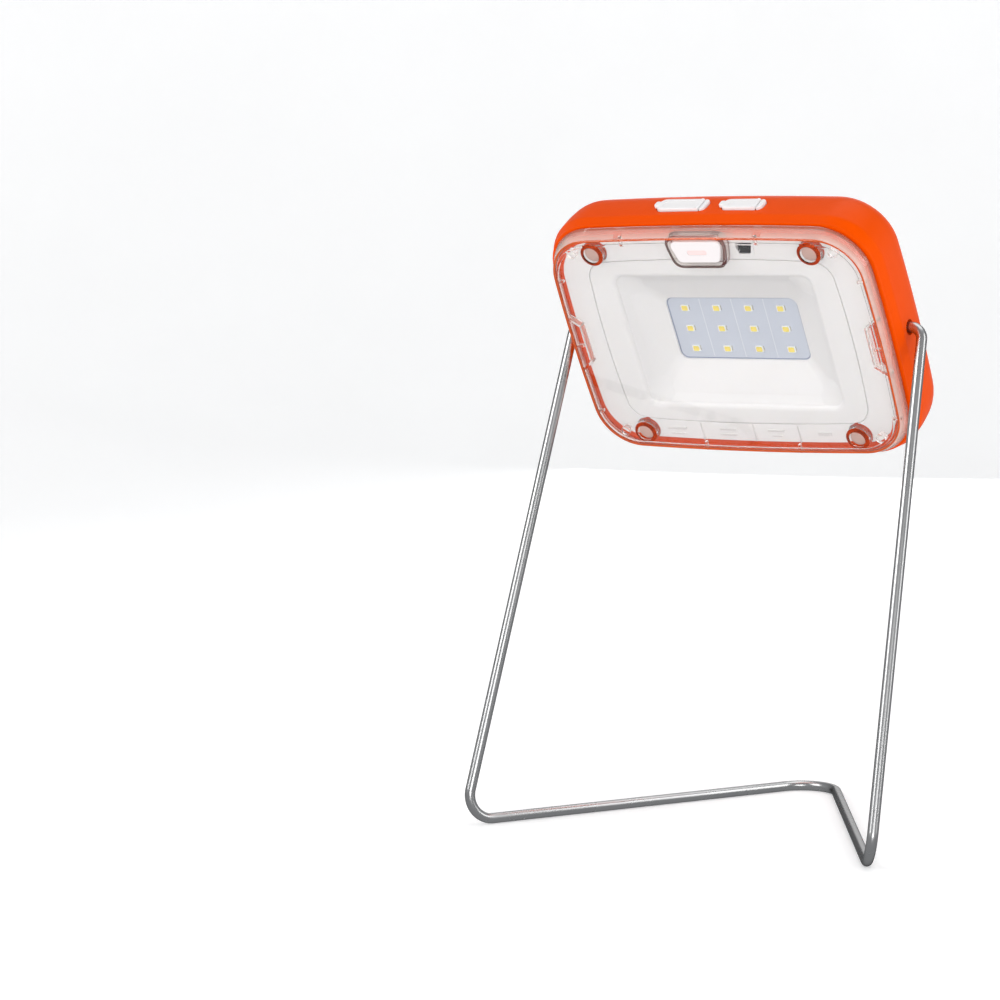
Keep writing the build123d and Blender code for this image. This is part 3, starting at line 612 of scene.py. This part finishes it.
def make_lens():
    """The clear tray, with its rounded front edge, screw wells, pegs, ribs, side pockets and button bay."""
    hollow_z = LENS_Z - LENS_T
    front_w, front_h = LENS_FRONT
    outer = [
        (LENS_BASE[0], LENS_BASE[1], LENS_BASE_Z + 0.15, CORNER_R),
        (front_w, front_h, LENS_Z - 0.8, 19.4),
    ]
    for k in range(1, 7):
        a = math.pi / 2 * k / 6
        pull = 0.8 * (1 - math.cos(a))
        outer.append((front_w - pull, front_h - pull, LENS_Z - 0.8 + 0.8 * math.sin(a), 19.4 - pull))
    front_bead = bead(69.8, 49.3, 1.2, 0.3, LENS_Z, 17.0)
    outer += [(w, h, 2 * LENS_Z - z, c) for w, h, z, c in reversed(front_bead)]
    inner = [
        (LENS_BASE[0] - 1.9, LENS_BASE[1] - 1.9, LENS_BASE_Z, CORNER_R - 2),
        (front_w - 1.2, front_h - 0.9, hollow_z - 0.6, 18.2),
        (front_w - 1.4, front_h - 1.1, hollow_z - 0.15, 18.0),
        (front_w - 1.9, front_h - 1.6, hollow_z, 17.5),
    ]
    rim = [(LENS_BASE[0] - 0.15, LENS_BASE[1] - 0.15, LENS_BASE_Z, CORNER_R)]
    bm = bmesh.new()
    bridge(bm, [soft_ring(w, h, z, corner) for w, h, z, corner in reversed(inner)]
           + [soft_ring(w, h, z, corner) for w, h, z, corner in rim + outer])
    lens = make_object("lens_shell", bm)
    added = bmesh.new()
    foot = PLATE_Z + 0.3
    into = hollow_z + 0.4
    for x, y in CORNERS:
        prism(added, disc(x * SCREW_X, y * SCREW_Y, WELL_D / 2, 48), WELL_FOOT_Z, into)
        prism(added, disc(x * PEG_X, y * SCREW_Y, 2.1, 24), foot, into)
    for x, y, width, height in RIBS:
        prism(added, slab(x, y, width, height), foot + 1.2, into)
    for hand in SIDES:
        prism(added, strip([(hand * x, y) for x, y in POCKET_WALL], 0.6), foot, into)
    prism(added, button_shape(BAY_MARGIN + 1.3), foot, into)
    cut(lens, make_object("added", added), "UNION")
    removed = bmesh.new()
    for x, y in CORNERS:
        prism(removed, disc(x * SCREW_X, y * SCREW_Y, WELL_BORE_D / 2, 48), SCREW_SEAT_Z, LENS_Z + 2)
    prism(removed, button_shape(BAY_MARGIN), foot - 1, LENS_Z + 2)
    cut(lens, make_object("removed", removed))
    holes = bmesh.new()
    for x, y in CORNERS:
        prism(holes, disc(x * SCREW_X, y * SCREW_Y, 1.6), WELL_FOOT_Z - 1, LENS_Z)
    cut(lens, make_object("holes", holes))
    milky = lens.data.attributes.new("milky", "FLOAT", "CORNER")
    for face in lens.data.polygons:
        middle = INTO_HEAD @ face.center
        sideways = abs(face.normal.dot(HEAD_Z)) < 0.6
        outermost = (middle.x / LENS_BASE[0]) ** 6 + (middle.y / LENS_BASE[1]) ** 6 > 0.8
        near_well = math.hypot(abs(middle.x) - SCREW_X, abs(middle.y) - SCREW_Y) < 6
        for corner in face.loop_indices:
            place = INTO_HEAD @ lens.data.vertices[lens.data.loops[corner].vertex_index].co
            rise = (place.z - LENS_BASE_Z) / (LENS_Z - LENS_BASE_Z)
            amount = min(1.0, 0.1 + rise) if outermost else 0.4
            milky.data[corner].value = amount if sideways and not near_well else 0.0
    return finished(lens, CLEAR_LENS, "clear_lens", replaces=["lens"], angle=28)


def seal_rings(bm):
    """The seal under the lens wall; its dark brown is partly painted shade, for the rim lying in shade
    under the wall.
    """
    top = LENS_BASE_Z + 0.06
    outer = soft_ring(74.3, 54.9, RIM_Z, 21.7), soft_ring(74.3, 54.9, top, 21.7)
    inner = soft_ring(73.0, 53.6, top, 20.4), soft_ring(73.0, 53.6, RIM_Z, 20.4)
    bridge(bm, [*outer, *inner], loop=True)


def painted_refraction_line(bm):
    """A thin orange line inside the front edge of the lens: painted refraction, standing in for the orange
    housing seen through the edge.
    """
    w, h = LENS_FRONT
    low = LENS_Z - 1.35
    high = LENS_Z - 0.75
    sizes = [(0.3, low), (0.3, high), (0.95, high), (0.95, low)]
    bridge(bm, [soft_ring(w - g, h - g, depth, 19.4 - g) for g, depth in sizes], loop=True)


def bay_seal(bm):
    """The seal round the button bay, pressed between the lens and the white plate."""
    low = PLATE_Z - 0.02
    high = PLATE_Z + 0.36
    outer = button_shape(BAY_MARGIN + 1.2)
    inner = button_shape(BAY_MARGIN + 0.1)
    bridge(bm, [level(outer, low), level(outer, high), level(inner, high), level(inner, low)], loop=True)


def dish_ring(half_w, half_h, z, corner):
    """One ring of the sloped dish in the white plate."""
    return soft_ring(half_w, half_h, z, corner, 0.01)


def socket_shape(grow):
    """The input socket's mouth, wider at its top, as a shape."""
    x, y = INPUT
    low, high = y - 2.2 - grow, y + 2.2 + grow
    half_low, half_high = 2.6 + grow, 3.9 + grow
    corners = [(x + half_low, low), (x + half_high, high), (x - half_high, high), (x - half_low, low)]
    return lambda margin: rounded_polygon(corners, 0.9 + grow / 2)


def make_reflector():
    """A plate with a fine groove and a dish whose mouth is softly rounded, as one closed skin."""
    slope = (DISH[0] - APERTURE[0]) / (PLATE_Z - LED_BOARD_Z - 0.2)
    rings = [
        soft_ring(*PLATE, PLATE_Z - PLATE_T, 18),
        soft_ring(*PLATE, PLATE_Z - 0.3, 18),
        soft_ring(PLATE[0] - 0.3, PLATE[1] - 0.3, PLATE_Z, 17.7),
        soft_ring(58.3, 40.5, PLATE_Z, 9.4),
        soft_ring(58.2, 40.4, PLATE_Z - 0.8, 9.3),
        soft_ring(57.85, 40.05, PLATE_Z - 0.8, 9.0),
        soft_ring(57.75, 39.95, PLATE_Z, 8.9),
    ]
    lip = 2.6
    for k in range(9):
        t = k / 8
        out = lip * (1 - t) ** 2
        down = lip * slope * 0.62 * t * t
        half_w, half_h = (half - lip * 0.4 + out for half in DISH)
        rings.append(dish_ring(half_w, half_h, PLATE_Z - down, 4.6 + out * 0.7))
    rings += [
        dish_ring(APERTURE[0] + 0.6, APERTURE[1] + 0.6, LED_BOARD_Z + 1.15, 4.1),
        dish_ring(APERTURE[0] + 0.15, APERTURE[1] + 0.15, LED_BOARD_Z + 0.95, 3.7),
        dish_ring(APERTURE[0], APERTURE[1], LED_BOARD_Z + 0.7, 3.5),
        dish_ring(APERTURE[0], APERTURE[1], LED_BOARD_Z + 0.05, 3.5),
        dish_ring(APERTURE[0] + 1.7, APERTURE[1] + 1.7, LED_BOARD_Z + 0.05, 5.2),
        dish_ring(DISH[0] - 0.6, DISH[1] - 0.6, PLATE_Z - PLATE_T, 10.4),
    ]
    bm = bmesh.new()
    bridge(bm, rings, loop=True)
    plate = make_object("reflector_shell", bm)
    holes = bmesh.new()
    for x, y in CORNERS:
        prism(holes, disc(x * SCREW_X, y * SCREW_Y, WELL_D / 2 + 0.3, 48), PLATE_Z - 3, PLATE_Z + 1)
    for hand in SIDES:
        prism(holes, lambda margin: [(hand * x, y) for x, y in POCKET_NOTCH], PLATE_Z - 3, PLATE_Z + 1)
    prism(holes, slab(0, BUTTON_Y, 12, 6.4, 2), PLATE_Z - 3, PLATE_Z + 1)
    prism(holes, socket_shape(0.0), PLATE_Z - 3, PLATE_Z + 1)
    cut(plate, make_object("holes", holes))
    return finished(plate, WHITE_PLASTIC, "white_plastic", replaces=["reflector"])


def plate_marks(bm):
    """Plain raised dividing lines and bars along the lower edge of the white plate; their grey finish is
    painted shade.
    """
    for x in (-24, 1, 22):
        prism(bm, slab(x, -44.9, 0.4, 8.4), PLATE_Z - 0.05, PLATE_Z + 0.45)
    bars = [
        (-36, -43.6, 9.0, 0.9), (-36, -46.2, 6.0, 0.6), (-11.5, -43.6, 8.0, 0.9), (-11.5, -46.2, 8.0, 0.6),
        (11.5, -43.6, 8.0, 0.9), (11.5, -46.2, 4.6, 0.6), (34, -44.4, 6.0, 1.6),
    ]
    for x, y, w, h in bars:
        prism(bm, slab(x, y, w, h, 0.25), PLATE_Z - 0.05, PLATE_Z + 0.4)


def socket_surround(bm):
    """The raised frame round the input socket."""
    low = PLATE_Z - 0.05
    high = PLATE_Z + 0.3
    outer = socket_shape(1.2)
    inner = socket_shape(0.0)
    rings = [level(outer, low), level(outer, high), level(inner, high), level(inner, low)]
    bridge(bm, rings, loop=True)


# ------------------------------------------------------------------ light board

LED_PLACES = [(15.0 * (i - 1.5), 10.0 * (j - 1)) for j in range(3) for i in range(4)]
LED_TOP_Z = LED_BOARD_Z + 0.8


def led_packages(bm):
    """White packages with a sloped cup for the phosphor."""
    for x, y in LED_PLACES:
        bridge(bm, [
            level(slab(x, y, 3.5, 2.8, 0.15), LED_BOARD_Z + 0.08),
            level(slab(x, y, 3.5, 2.8, 0.15), LED_TOP_Z - 0.08),
            level(slab(x, y, 3.34, 2.64, 0.15), LED_TOP_Z),
            level(slab(x, y, 2.84, 2.44, 0.6), LED_TOP_Z),
            level(slab(x, y, 2.5, 2.1, 0.5), LED_TOP_Z - 0.4),
        ])


def led_phosphors(bm):
    """Gel that fills each cup and sags a little in the middle."""
    for x, y in LED_PLACES:
        bridge(bm, [
            level(slab(x, y, 2.4, 2.0, 0.5), LED_TOP_Z - 0.36),
            level(slab(x, y, 2.78, 2.38, 0.6), LED_TOP_Z - 0.04),
            level(slab(x, y, 2.4, 2.0, 0.5), LED_TOP_Z - 0.07),
            level(slab(x, y, 1.4, 1.1, 0.4), LED_TOP_Z - 0.09),
        ])


def led_pads(bm):
    """Tinned solder pads at both ends of every package."""
    for x, y in LED_PLACES:
        for hand in SIDES:
            prism(bm, slab(x + hand * 1.62, y, 0.9, 2.3, 0.2), LED_BOARD_Z, LED_BOARD_Z + 0.14, 0.06)


def board_shadow_line(bm):
    """Painted shadow: a darker line round the board, just inside the aperture, where the aperture's lip
    shades the board.
    """
    low = LED_BOARD_Z
    high = LED_BOARD_Z + 0.05
    sizes = [(-0.02, low), (-0.02, high), (-0.55, high), (-0.55, low)]
    bridge(bm, [dish_ring(APERTURE[0] + g, APERTURE[1] + g, z, 3.5 + g) for g, z in sizes], loop=True)


def board_lines(bm):
    """Thin printed lines between the columns of the light board."""
    for x in (-15, 0, 15):
        prism(bm, slab(x, 0, 0.22, 28.6), LED_BOARD_Z, LED_BOARD_Z + 0.04)


# ------------------------------------------------------------------ solar panel

CELL_TOP_Z = -15.4
CELLS = [(12.34 * (i - 4), 34.3 * (j - 0.5)) for j in range(2) for i in range(9)]


def cell_fingers(bm):
    """Eight printed silver lines on every cell."""
    for x, y in CELLS:
        for k in range(8):
            prism(bm, slab(x + 1.24 * (k - 3.5), y, 0.16, 31.2), CELL_TOP_Z, CELL_TOP_Z - 0.03)


# ------------------------------------------------------------------ button and port covers


def make_button():
    """The power button: cap, stem and the sunk place of its indicator."""
    bm = bmesh.new()
    prism(bm, button_shape(), BUTTON_TOP_Z - 2.2, BUTTON_TOP_Z, 0.7, steps=6)
    cap = make_object("button_cap", bm)
    stem = bmesh.new()
    prism(stem, slab(0, BUTTON_Y, 10.4, 5.0, 1.6), BUTTON_TOP_Z - 1.8, 9.6)
    cut(cap, make_object("stem", stem), "UNION")
    recess = bmesh.new()
    prism(recess, slab(0, BUTTON_Y, 9.0, 2.2, 1.0), BUTTON_TOP_Z + 1, BUTTON_TOP_Z - 0.8)
    cut(cap, make_object("recess", recess))
    return finished(cap, WHITE_BUTTON, "white_button", body="button", replaces=["power_button"])


def indicator_window(bm):
    """The translucent window in the button's cap."""
    prism(bm, slab(0, BUTTON_Y, 9.0, 2.2, 1.0), BUTTON_TOP_Z - 0.79, BUTTON_TOP_Z - 0.1, 0.2)


def flap_shape(cover):
    """A strap's outline along the top wall: rounded at the free end, square at the hinge."""
    radius = cover["half_z"] - 0.9

    def shape(margin):
        left = cover["left"] - margin
        half = cover["half_z"] + margin
        points = [(cover["axis"] + margin, COVER_SHIFT + half)]
        for turn in (1, 2):
            for k in range(9):
                a = math.pi / 2 * (turn + k / 8)
                x = left + radius + margin + (radius + margin) * math.cos(a)
                y = (half - radius - margin) * (3 - 2 * turn) + (radius + margin) * math.sin(a)
                points.append((x, COVER_SHIFT + y))
        return points + [(cover["axis"] + margin, COVER_SHIFT - half)]

    return shape


def make_cover(name, cover):
    """The moving flap of a port cover, with its plug, finger tab, rolled hinge edge and sunk panel."""
    bm = bmesh.new()
    prism(bm, flap_shape(cover), COVER_BOTTOM_Y, COVER_TOP_Y, 0.6, on_top, 5)
    flap = make_object(name + "_flap", bm)
    for shape, low, high, edge in [
        (slab(cover["port"], 0, *cover["plug"], 0.8), COVER_BOTTOM_Y + 0.4, COVER_BOTTOM_Y - 1.9, 0.4),
        (slab(cover["left"] - 0.2, COVER_SHIFT, 2.4, 3.6, 1.1),
         COVER_BOTTOM_Y + 0.8, COVER_BOTTOM_Y + 2.2, 0.4),
    ]:
        extra = bmesh.new()
        prism(extra, shape, low, high, edge, on_top)
        cut(flap, make_object("extra", extra), "UNION")
    roll = bmesh.new()
    prism(roll, disc(cover["axis"], COVER_AXIS_Y, 1.0),
          -COVER_SHIFT - cover["half_z"], -COVER_SHIFT + cover["half_z"])
    cut(flap, make_object("roll", roll), "UNION")
    middle = (cover["left"] + cover["axis"]) / 2
    pan = bmesh.new()
    pan_shape = slab(middle + 0.6, COVER_SHIFT, cover["axis"] - cover["left"] - 4.4,
                     2 * cover["half_z"] - 2.6, 1.6)
    prism(pan, pan_shape, COVER_TOP_Y + 1, COVER_TOP_Y - 0.25, place=on_top)
    cut(flap, make_object("pan", pan))
    return finished(flap, WHITE_RUBBER, "white_rubber", body=COVER_BODIES[name], replaces=[name])


def make_cover_root(name, cover):
    """The fixed end of the strap, with its mushroom foot through the wall."""
    start = cover["axis"] + 1.5
    half = cover["half_z"] - 0.1
    bend = 1.7

    def shape(margin):
        points = [(start - margin, COVER_SHIFT - half - margin)]
        for turn in (-1, 0):
            for k in range(7):
                a = math.pi / 2 * (turn + k / 6)
                points.append((
                    cover["right"] - bend + (bend + margin) * math.cos(a),
                    COVER_SHIFT + (half - bend) * (1 + 2 * turn) + (bend + margin) * math.sin(a),
                ))
        return points + [(start - margin, COVER_SHIFT + half + margin)]

    bm = bmesh.new()
    prism(bm, shape, POCKET_Y, COVER_TOP_Y - 0.3, 0.4, on_top)
    root = make_object(name + "_root", bm)
    stem = bmesh.new()
    stem_x = cover["right"] - 1.2
    prism(stem, disc(stem_x, COVER_SHIFT, 0.85, 20), POCKET_Y + 0.5, POCKET_Y - 2.8, place=on_top)
    cut(root, make_object("stem", stem), "UNION")
    foot = bmesh.new()
    prism(foot, disc(stem_x, COVER_SHIFT, 1.5, 24), POCKET_Y - 2.6, POCKET_Y - 3.4, 0.4, on_top)
    cut(root, make_object("foot", foot), "UNION")
    return finished(root, WHITE_RUBBER, "white_rubber", replaces=[name + "_anchor"])


COVER_BODIES = {"usb_cover": "usb_flap", "type_c_cover": "type_c_flap"}

# ------------------------------------------------------------------ wire stand

FOOT_FRONT = 72.6
FOOT_REAR = 84.6
FOOT_HALF = 94.15
LEG_TOP_RIGHT = 83.2
LEG_TOP_LEFT = 80.8
WIRE_END_X = 63.5
WIRE_BENDS = [5.6, 10.0, 15.0, 10.0, 5.0]


def filleted(corners, radii, step=math.radians(5)):
    """An open polyline in space with every inner corner rounded to its own radius."""
    points = [Vector(corners[0])]
    for before, here, after, radius in zip(corners, corners[1:], corners[2:], radii):
        here = Vector(here)
        back = (Vector(before) - here).normalized()
        on = (Vector(after) - here).normalized()
        half = back.angle(on) / 2
        reach = radius / math.tan(half)
        centre = here + (back + on).normalized() * (radius / math.sin(half))
        start = here + back * reach - centre
        end = here + on * reach - centre
        turn = start.angle(end)
        count = max(4, round(turn / step))
        for k in range(count + 1):
            a = turn * k / count
            points.append(centre + (start * math.sin(turn - a) + end * math.sin(a)) / math.sin(turn))
    return points + [Vector(corners[-1])]


def make_wire():
    """One wire swept along its bends, with slightly broken end edges."""
    pivot = PIVOT / MM
    floor = WIRE_R
    corners = [
        (WIRE_END_X, pivot.y, pivot.z), (LEG_TOP_RIGHT, pivot.y, pivot.z),
        (FOOT_HALF, pivot.y - FOOT_FRONT, floor), (0, pivot.y + FOOT_REAR, floor),
        (-FOOT_HALF, pivot.y - FOOT_FRONT, floor), (-LEG_TOP_LEFT, pivot.y, pivot.z),
        (-WIRE_END_X, pivot.y, pivot.z),
    ]
    path = filleted(corners, WIRE_BENDS)
    path.insert(1, path[0].lerp(path[1], 0.3 / (path[1] - path[0]).length))
    path.insert(-1, path[-1].lerp(path[-2], 0.3 / (path[-2] - path[-1]).length))
    rings = []
    normal = Vector((0, 0, 1))
    for i, point in enumerate(path):
        along = (path[min(i + 1, len(path) - 1)] - path[max(i - 1, 0)]).normalized()
        normal = (normal - along * normal.dot(along)).normalized()
        across = along.cross(normal)
        radius = WIRE_R - (0.3 if i in (0, len(path) - 1) else 0.0)
        turns = [2 * math.pi * k / 32 for k in range(32)]
        rings.append([point + radius * (math.cos(a) * normal + math.sin(a) * across) for a in turns])
    bm = bmesh.new()
    bridge(bm, [[INTO_HEAD @ (p * MM) for p in ring] for ring in rings])
    obj = make_object("stand_wire", bm)
    return finished(obj, STEEL, "stand_wire", body="stand", replaces=["wire_stand"])


# ------------------------------------------------------------------ finishes

ORANGE = moulded("orange_plastic", srgb(238, 78, 0), 0.36, shine=0.12, tint=(1, 0.4, 0.1))
WHITE_PLASTIC = moulded("white_plastic", srgb(243, 241, 240), 0.42, vary=0.015, subsurface=0.05)
# painted shade: the marks are greyer than the plate to stand in for the shading of embossed marks
RAISED_MARKS_PAINTED_SHADE = moulded("raised_marks_painted_shade", srgb(226, 223, 222), 0.42, vary=0.015)
WHITE_BUTTON = moulded("white_button", srgb(232, 226, 226), 0.35, vary=0.01, shine=0.25)
WHITE_RUBBER = moulded("white_rubber", srgb(240, 238, 238), 0.55, vary=0.015, shine=0.25)
# partly painted shade: the discs' greyish pink is darkened for the shade inside the screw wells
PLUG_DISC_PAINTED_SHADE = moulded("plug_disc", srgb(192, 160, 150), 0.4, vary=0.06)
INDICATOR = moulded("indicator", srgb(240, 214, 212), 0.25, vary=0.02, shine=0.25)
LED_BOARD = moulded("led_board", srgb(206, 212, 224), 0.45, vary=0.02)
# painted shadow: this darker blue-grey stands in for the shade under the aperture's lip
BOARD_SHADOW_LINE = moulded("board_shadow_line", srgb(150, 158, 182), 0.5, vary=0.05)
BOARD_PRINT = moulded("board_print", srgb(238, 241, 246), 0.5, vary=0.02)
LED_PACKAGE = moulded("led_package", srgb(248, 248, 246), 0.4, vary=0.02)
PHOSPHOR = moulded("led_phosphor", srgb(255, 232, 112), 0.3, vary=0.05, grain=2400.0)
BLACK_NYLON = moulded("black_nylon", srgb(26, 26, 28), 0.5, vary=0.2)
BLACK_PART = moulded("component_black", srgb(20, 20, 22), 0.45, vary=0.2)
LAMINATE = moulded("panel_laminate", srgb(14, 14, 17), 0.5, vary=0.25, grain=1500.0)
TAPE = moulded("foam_tape", srgb(224, 224, 220), 0.85, grain=2600.0, grain_height=0.0001)
# partly painted shade: the seal's brown is darkened for the shade under the lens wall
SEAL_WITH_PAINTED_SHADE = moulded("silicone_seal", srgb(196, 74, 28), 0.5, vary=0.05, shine=0.2)
BAY_SEAL = moulded("bay_seal", srgb(122, 78, 76), 0.5, vary=0.08, shine=0.2)
# painted refraction: this orange stands in for the housing seen through the lens's front edge
PAINTED_REFRACTION_LINE = moulded("painted_refraction_line", srgb(226, 96, 36), 0.4, vary=0.08, shine=0.2)
WRAP = moulded("battery_wrap", srgb(38, 96, 168), 0.28, vary=0.1, coat=0.4)
LEAD = moulded("lead_sheath", srgb(196, 34, 28), 0.42, vary=0.1)
CIRCUIT = moulded("circuit_board", srgb(20, 92, 52), 0.35, vary=0.25, coat=0.3)
CELL = moulded("silicon_cell", srgb(13, 13, 18), 0.3, vary=0.35, grain=700.0)
STEEL = metal("stand_steel", srgb(206, 206, 206), 0.26, (1, 1, 1), 40.0, 0.0000001, 0.03, edge=0.3)
SPRING = metal("spring_steel", srgb(150, 150, 156), 0.3)
ZINC = metal("zinc_screw", srgb(206, 206, 210), 0.28)
PORT_STEEL = metal("port_steel", srgb(210, 210, 214), 0.25, (1, 12, 1))
NICKEL = metal("nickel", srgb(214, 208, 196), 0.25)
SILVER_INK = metal("silver_ink", srgb(92, 94, 100), 0.5)
# the lens's pale pink milk is painted light: the orange of the housing behind, scattered through the
# frosted walls
CLEAR_LENS = clear("clear_lens", (0.99, 0.985, 0.983), 0.02, 1.5, 0.5, srgb(240, 222, 212))
CLEAR_FILM = clear("clear_film", (0.97, 0.97, 0.98), 0.03, 1.5)

# ------------------------------------------------------------------ the pieces

make_wire()
make_housing()
make_reflector()
small_piece("plate_marks", plate_marks, RAISED_MARKS_PAINTED_SHADE, "white_plastic")
small_piece("socket_surround", socket_surround, WHITE_PLASTIC, "white_plastic")
small_piece("seal_ring", seal_rings, SEAL_WITH_PAINTED_SHADE, "silicone_seal", replaces=["lens_gasket"])
small_piece("bay_seal", bay_seal, BAY_SEAL, "silicone_seal")
# painted refraction line inside the lens's front edge
small_piece("painted_refraction_line", painted_refraction_line, PAINTED_REFRACTION_LINE, "silicone_seal")
small_piece("led_bodies", led_packages, LED_PACKAGE, "led_package", replaces=["led_packages"])
small_piece("led_gels", led_phosphors, PHOSPHOR, "led_phosphor", replaces=["led_phosphors"])
small_piece("led_pads", led_pads, NICKEL, "nickel")
# painted shadow line round the board
small_piece("board_shadow_line", board_shadow_line, BOARD_SHADOW_LINE, "led_board")
small_piece("board_lines", board_lines, BOARD_PRINT, "led_board")
make_lens()
make_button()
small_piece("indicator_window", indicator_window, INDICATOR, "indicator", body="button",
            replaces=["button_indicator"])
small_piece("cell_fingers", cell_fingers, SILVER_INK, "silicon_cell")
for cover_name, cover_sizes in COVERS.items():
    make_cover(cover_name, cover_sizes)
    make_cover_root(cover_name, cover_sizes)

NODE_FINISHES = {
    "wire_retainers": SPRING, "pivot_bushes": BLACK_NYLON, "panel_tape": TAPE,
    "solar_panel_board": LAMINATE, "solar_cells": CELL, "panel_film": CLEAR_FILM, "led_board": LED_BOARD,
    "lens_screws": ZINC, "screw_plugs": PLUG_DISC_PAINTED_SHADE, "main_board": CIRCUIT, "board_screws": ZINC,
    "board_components": BLACK_PART, "power_switch": PORT_STEEL, "switch_plunger": BLACK_PART,
    "usb_a_shell": PORT_STEEL, "usb_a_tongue": BLACK_PART, "type_c_shell": PORT_STEEL,
    "type_c_tongue": BLACK_PART, "socket_riser": BLACK_PART, "input_socket": BLACK_PART,
    # input_socket_core gets the black finish partly as painted shade: it darkens the socket's recess
    "input_socket_core": BLACK_PART, "battery_cell": WRAP, "battery_tabs": NICKEL, "battery_pads": TAPE,
    "battery_leads": LEAD, "solar_leads": LEAD, "led_leads": LEAD,
}
for node_name, node_finish in NODE_FINISHES.items():
    smooth(NODES[node_name])
    coloured(NODES[node_name], node_finish)

# ------------------------------------------------------------------ floor, light and camera

FLOOR_RADIUS = 1.5
COVE_RADIUS = 0.9
WALL_TOP = 1.5


def make_cove():
    """A round pale floor that curves up into a low wall on all sides."""
    profile = [(0.0, 0.0), (0.4, 0.0), (0.9, 0.0), (FLOOR_RADIUS, 0.0)]
    for k in range(1, 17):
        a = math.pi / 2 * k / 16
        profile.append((FLOOR_RADIUS + COVE_RADIUS * math.sin(a), COVE_RADIUS * (1 - math.cos(a))))
    profile.append((FLOOR_RADIUS + COVE_RADIUS, WALL_TOP))
    count = 96
    verts = [(r * math.cos(2 * math.pi * i / count), r * math.sin(2 * math.pi * i / count), z)
             for r, z in profile[1:] for i in range(count)]
    faces = [list(range(count))]
    for row in range(len(profile) - 2):
        for i in range(count):
            j = (i + 1) % count
            faces.append([row * count + i, (row + 1) * count + i, (row + 1) * count + j, row * count + j])
    mesh = bpy.data.meshes.new("cove")
    mesh.from_pydata(verts, [], faces)
    cove = bpy.data.objects.new("cove", mesh)
    bpy.context.scene.collection.objects.link(cove)
    mesh.polygons.foreach_set("use_smooth", [True] * len(mesh.polygons))
    mat, nodes, links, shader = material("cove_paint")
    tone = noise(nodes, links, 6.0, 2.0)
    links.new(ramp(nodes, links, tone, [(0.3, (0.88, 0.88, 0.88)), (0.7, (0.9, 0.9, 0.9))]),
              shader.inputs["Base Color"])
    shader.inputs["Roughness"].default_value = 0.8
    shader.inputs["Emission Color"].default_value = (1, 1, 1, 1)
    shader.inputs["Emission Strength"].default_value = 0.3
    coloured(cove, mat)
    cove.visible_glossy = False


def softbox(name, place, target, size, watts, colour=(1, 1, 1)):
    """A soft rectangular lamp that the camera does not see."""
    lamp = bpy.data.lights.new(name, "AREA")
    lamp.shape = "RECTANGLE"
    lamp.size, lamp.size_y = size
    lamp.energy = watts
    lamp.color = colour
    box = bpy.data.objects.new(name, lamp)
    box.location = place
    box.rotation_mode = "QUATERNION"
    box.rotation_quaternion = (Vector(target) - Vector(place)).to_track_quat("-Z", "Y")
    box.visible_camera = False
    bpy.context.scene.collection.objects.link(box)


CAMERA_PLACE = Vector((0.60385, -1.13336, 0.25543))
CAMERA_AZIMUTH = math.radians(32.598)
CAMERA_DOWN = math.radians(5.294)
CAMERA_ROLL = -0.012
CAMERA_LENS = 110.04


def make_camera():
    """The camera, placed by the named values above."""
    forward = Vector((
        -math.sin(CAMERA_AZIMUTH) * math.cos(CAMERA_DOWN),
        math.cos(CAMERA_AZIMUTH) * math.cos(CAMERA_DOWN),
        -math.sin(CAMERA_DOWN),
    ))
    right = forward.cross(Vector((0, 0, 1))).normalized()
    up = right.cross(forward)
    rolled_right = math.cos(CAMERA_ROLL) * right + math.sin(CAMERA_ROLL) * up
    rolled_up = math.cos(CAMERA_ROLL) * up - math.sin(CAMERA_ROLL) * right
    data = bpy.data.cameras.new("camera")
    data.lens = CAMERA_LENS
    data.sensor_width = 36.0
    camera = bpy.data.objects.new("camera", data)
    turn = Matrix((rolled_right, rolled_up, -forward)).transposed().to_4x4()
    camera.matrix_world = Matrix.Translation(CAMERA_PLACE) @ turn
    bpy.context.scene.collection.objects.link(camera)
    bpy.context.scene.camera = camera


def make_world():
    """A dim, slightly cool surrounding light."""
    world = bpy.data.worlds.new("studio")
    world.use_nodes = True
    background = world.node_tree.nodes["Background"]
    background.inputs["Color"].default_value = (0.95, 0.97, 1.0, 1)
    background.inputs["Strength"].default_value = 0.3
    bpy.context.scene.world = world


make_cove()
make_world()
softbox("key", (-0.9, -1.2, 1.1), (0, 0, 0.15), (0.9, 0.9), 8.5)
softbox("front", (0.95, -1.3, 0.4), (0, 0, 0.15), (0.9, 0.6), 5.0)
softbox("top", (0.1, 0.3, 1.5), (0, 0, 0.1), (1.2, 1.2), 5.5)
softbox("right", (1.3, 0.2, 0.7), (0, 0, 0.15), (0.4, 1.0), 3)
softbox("back", (-0.5, 1.4, 0.5), (0, 0, 0.15), (0.8, 1.0), 3.5)
make_camera()
bpy.context.scene.view_settings.view_transform = "Standard"
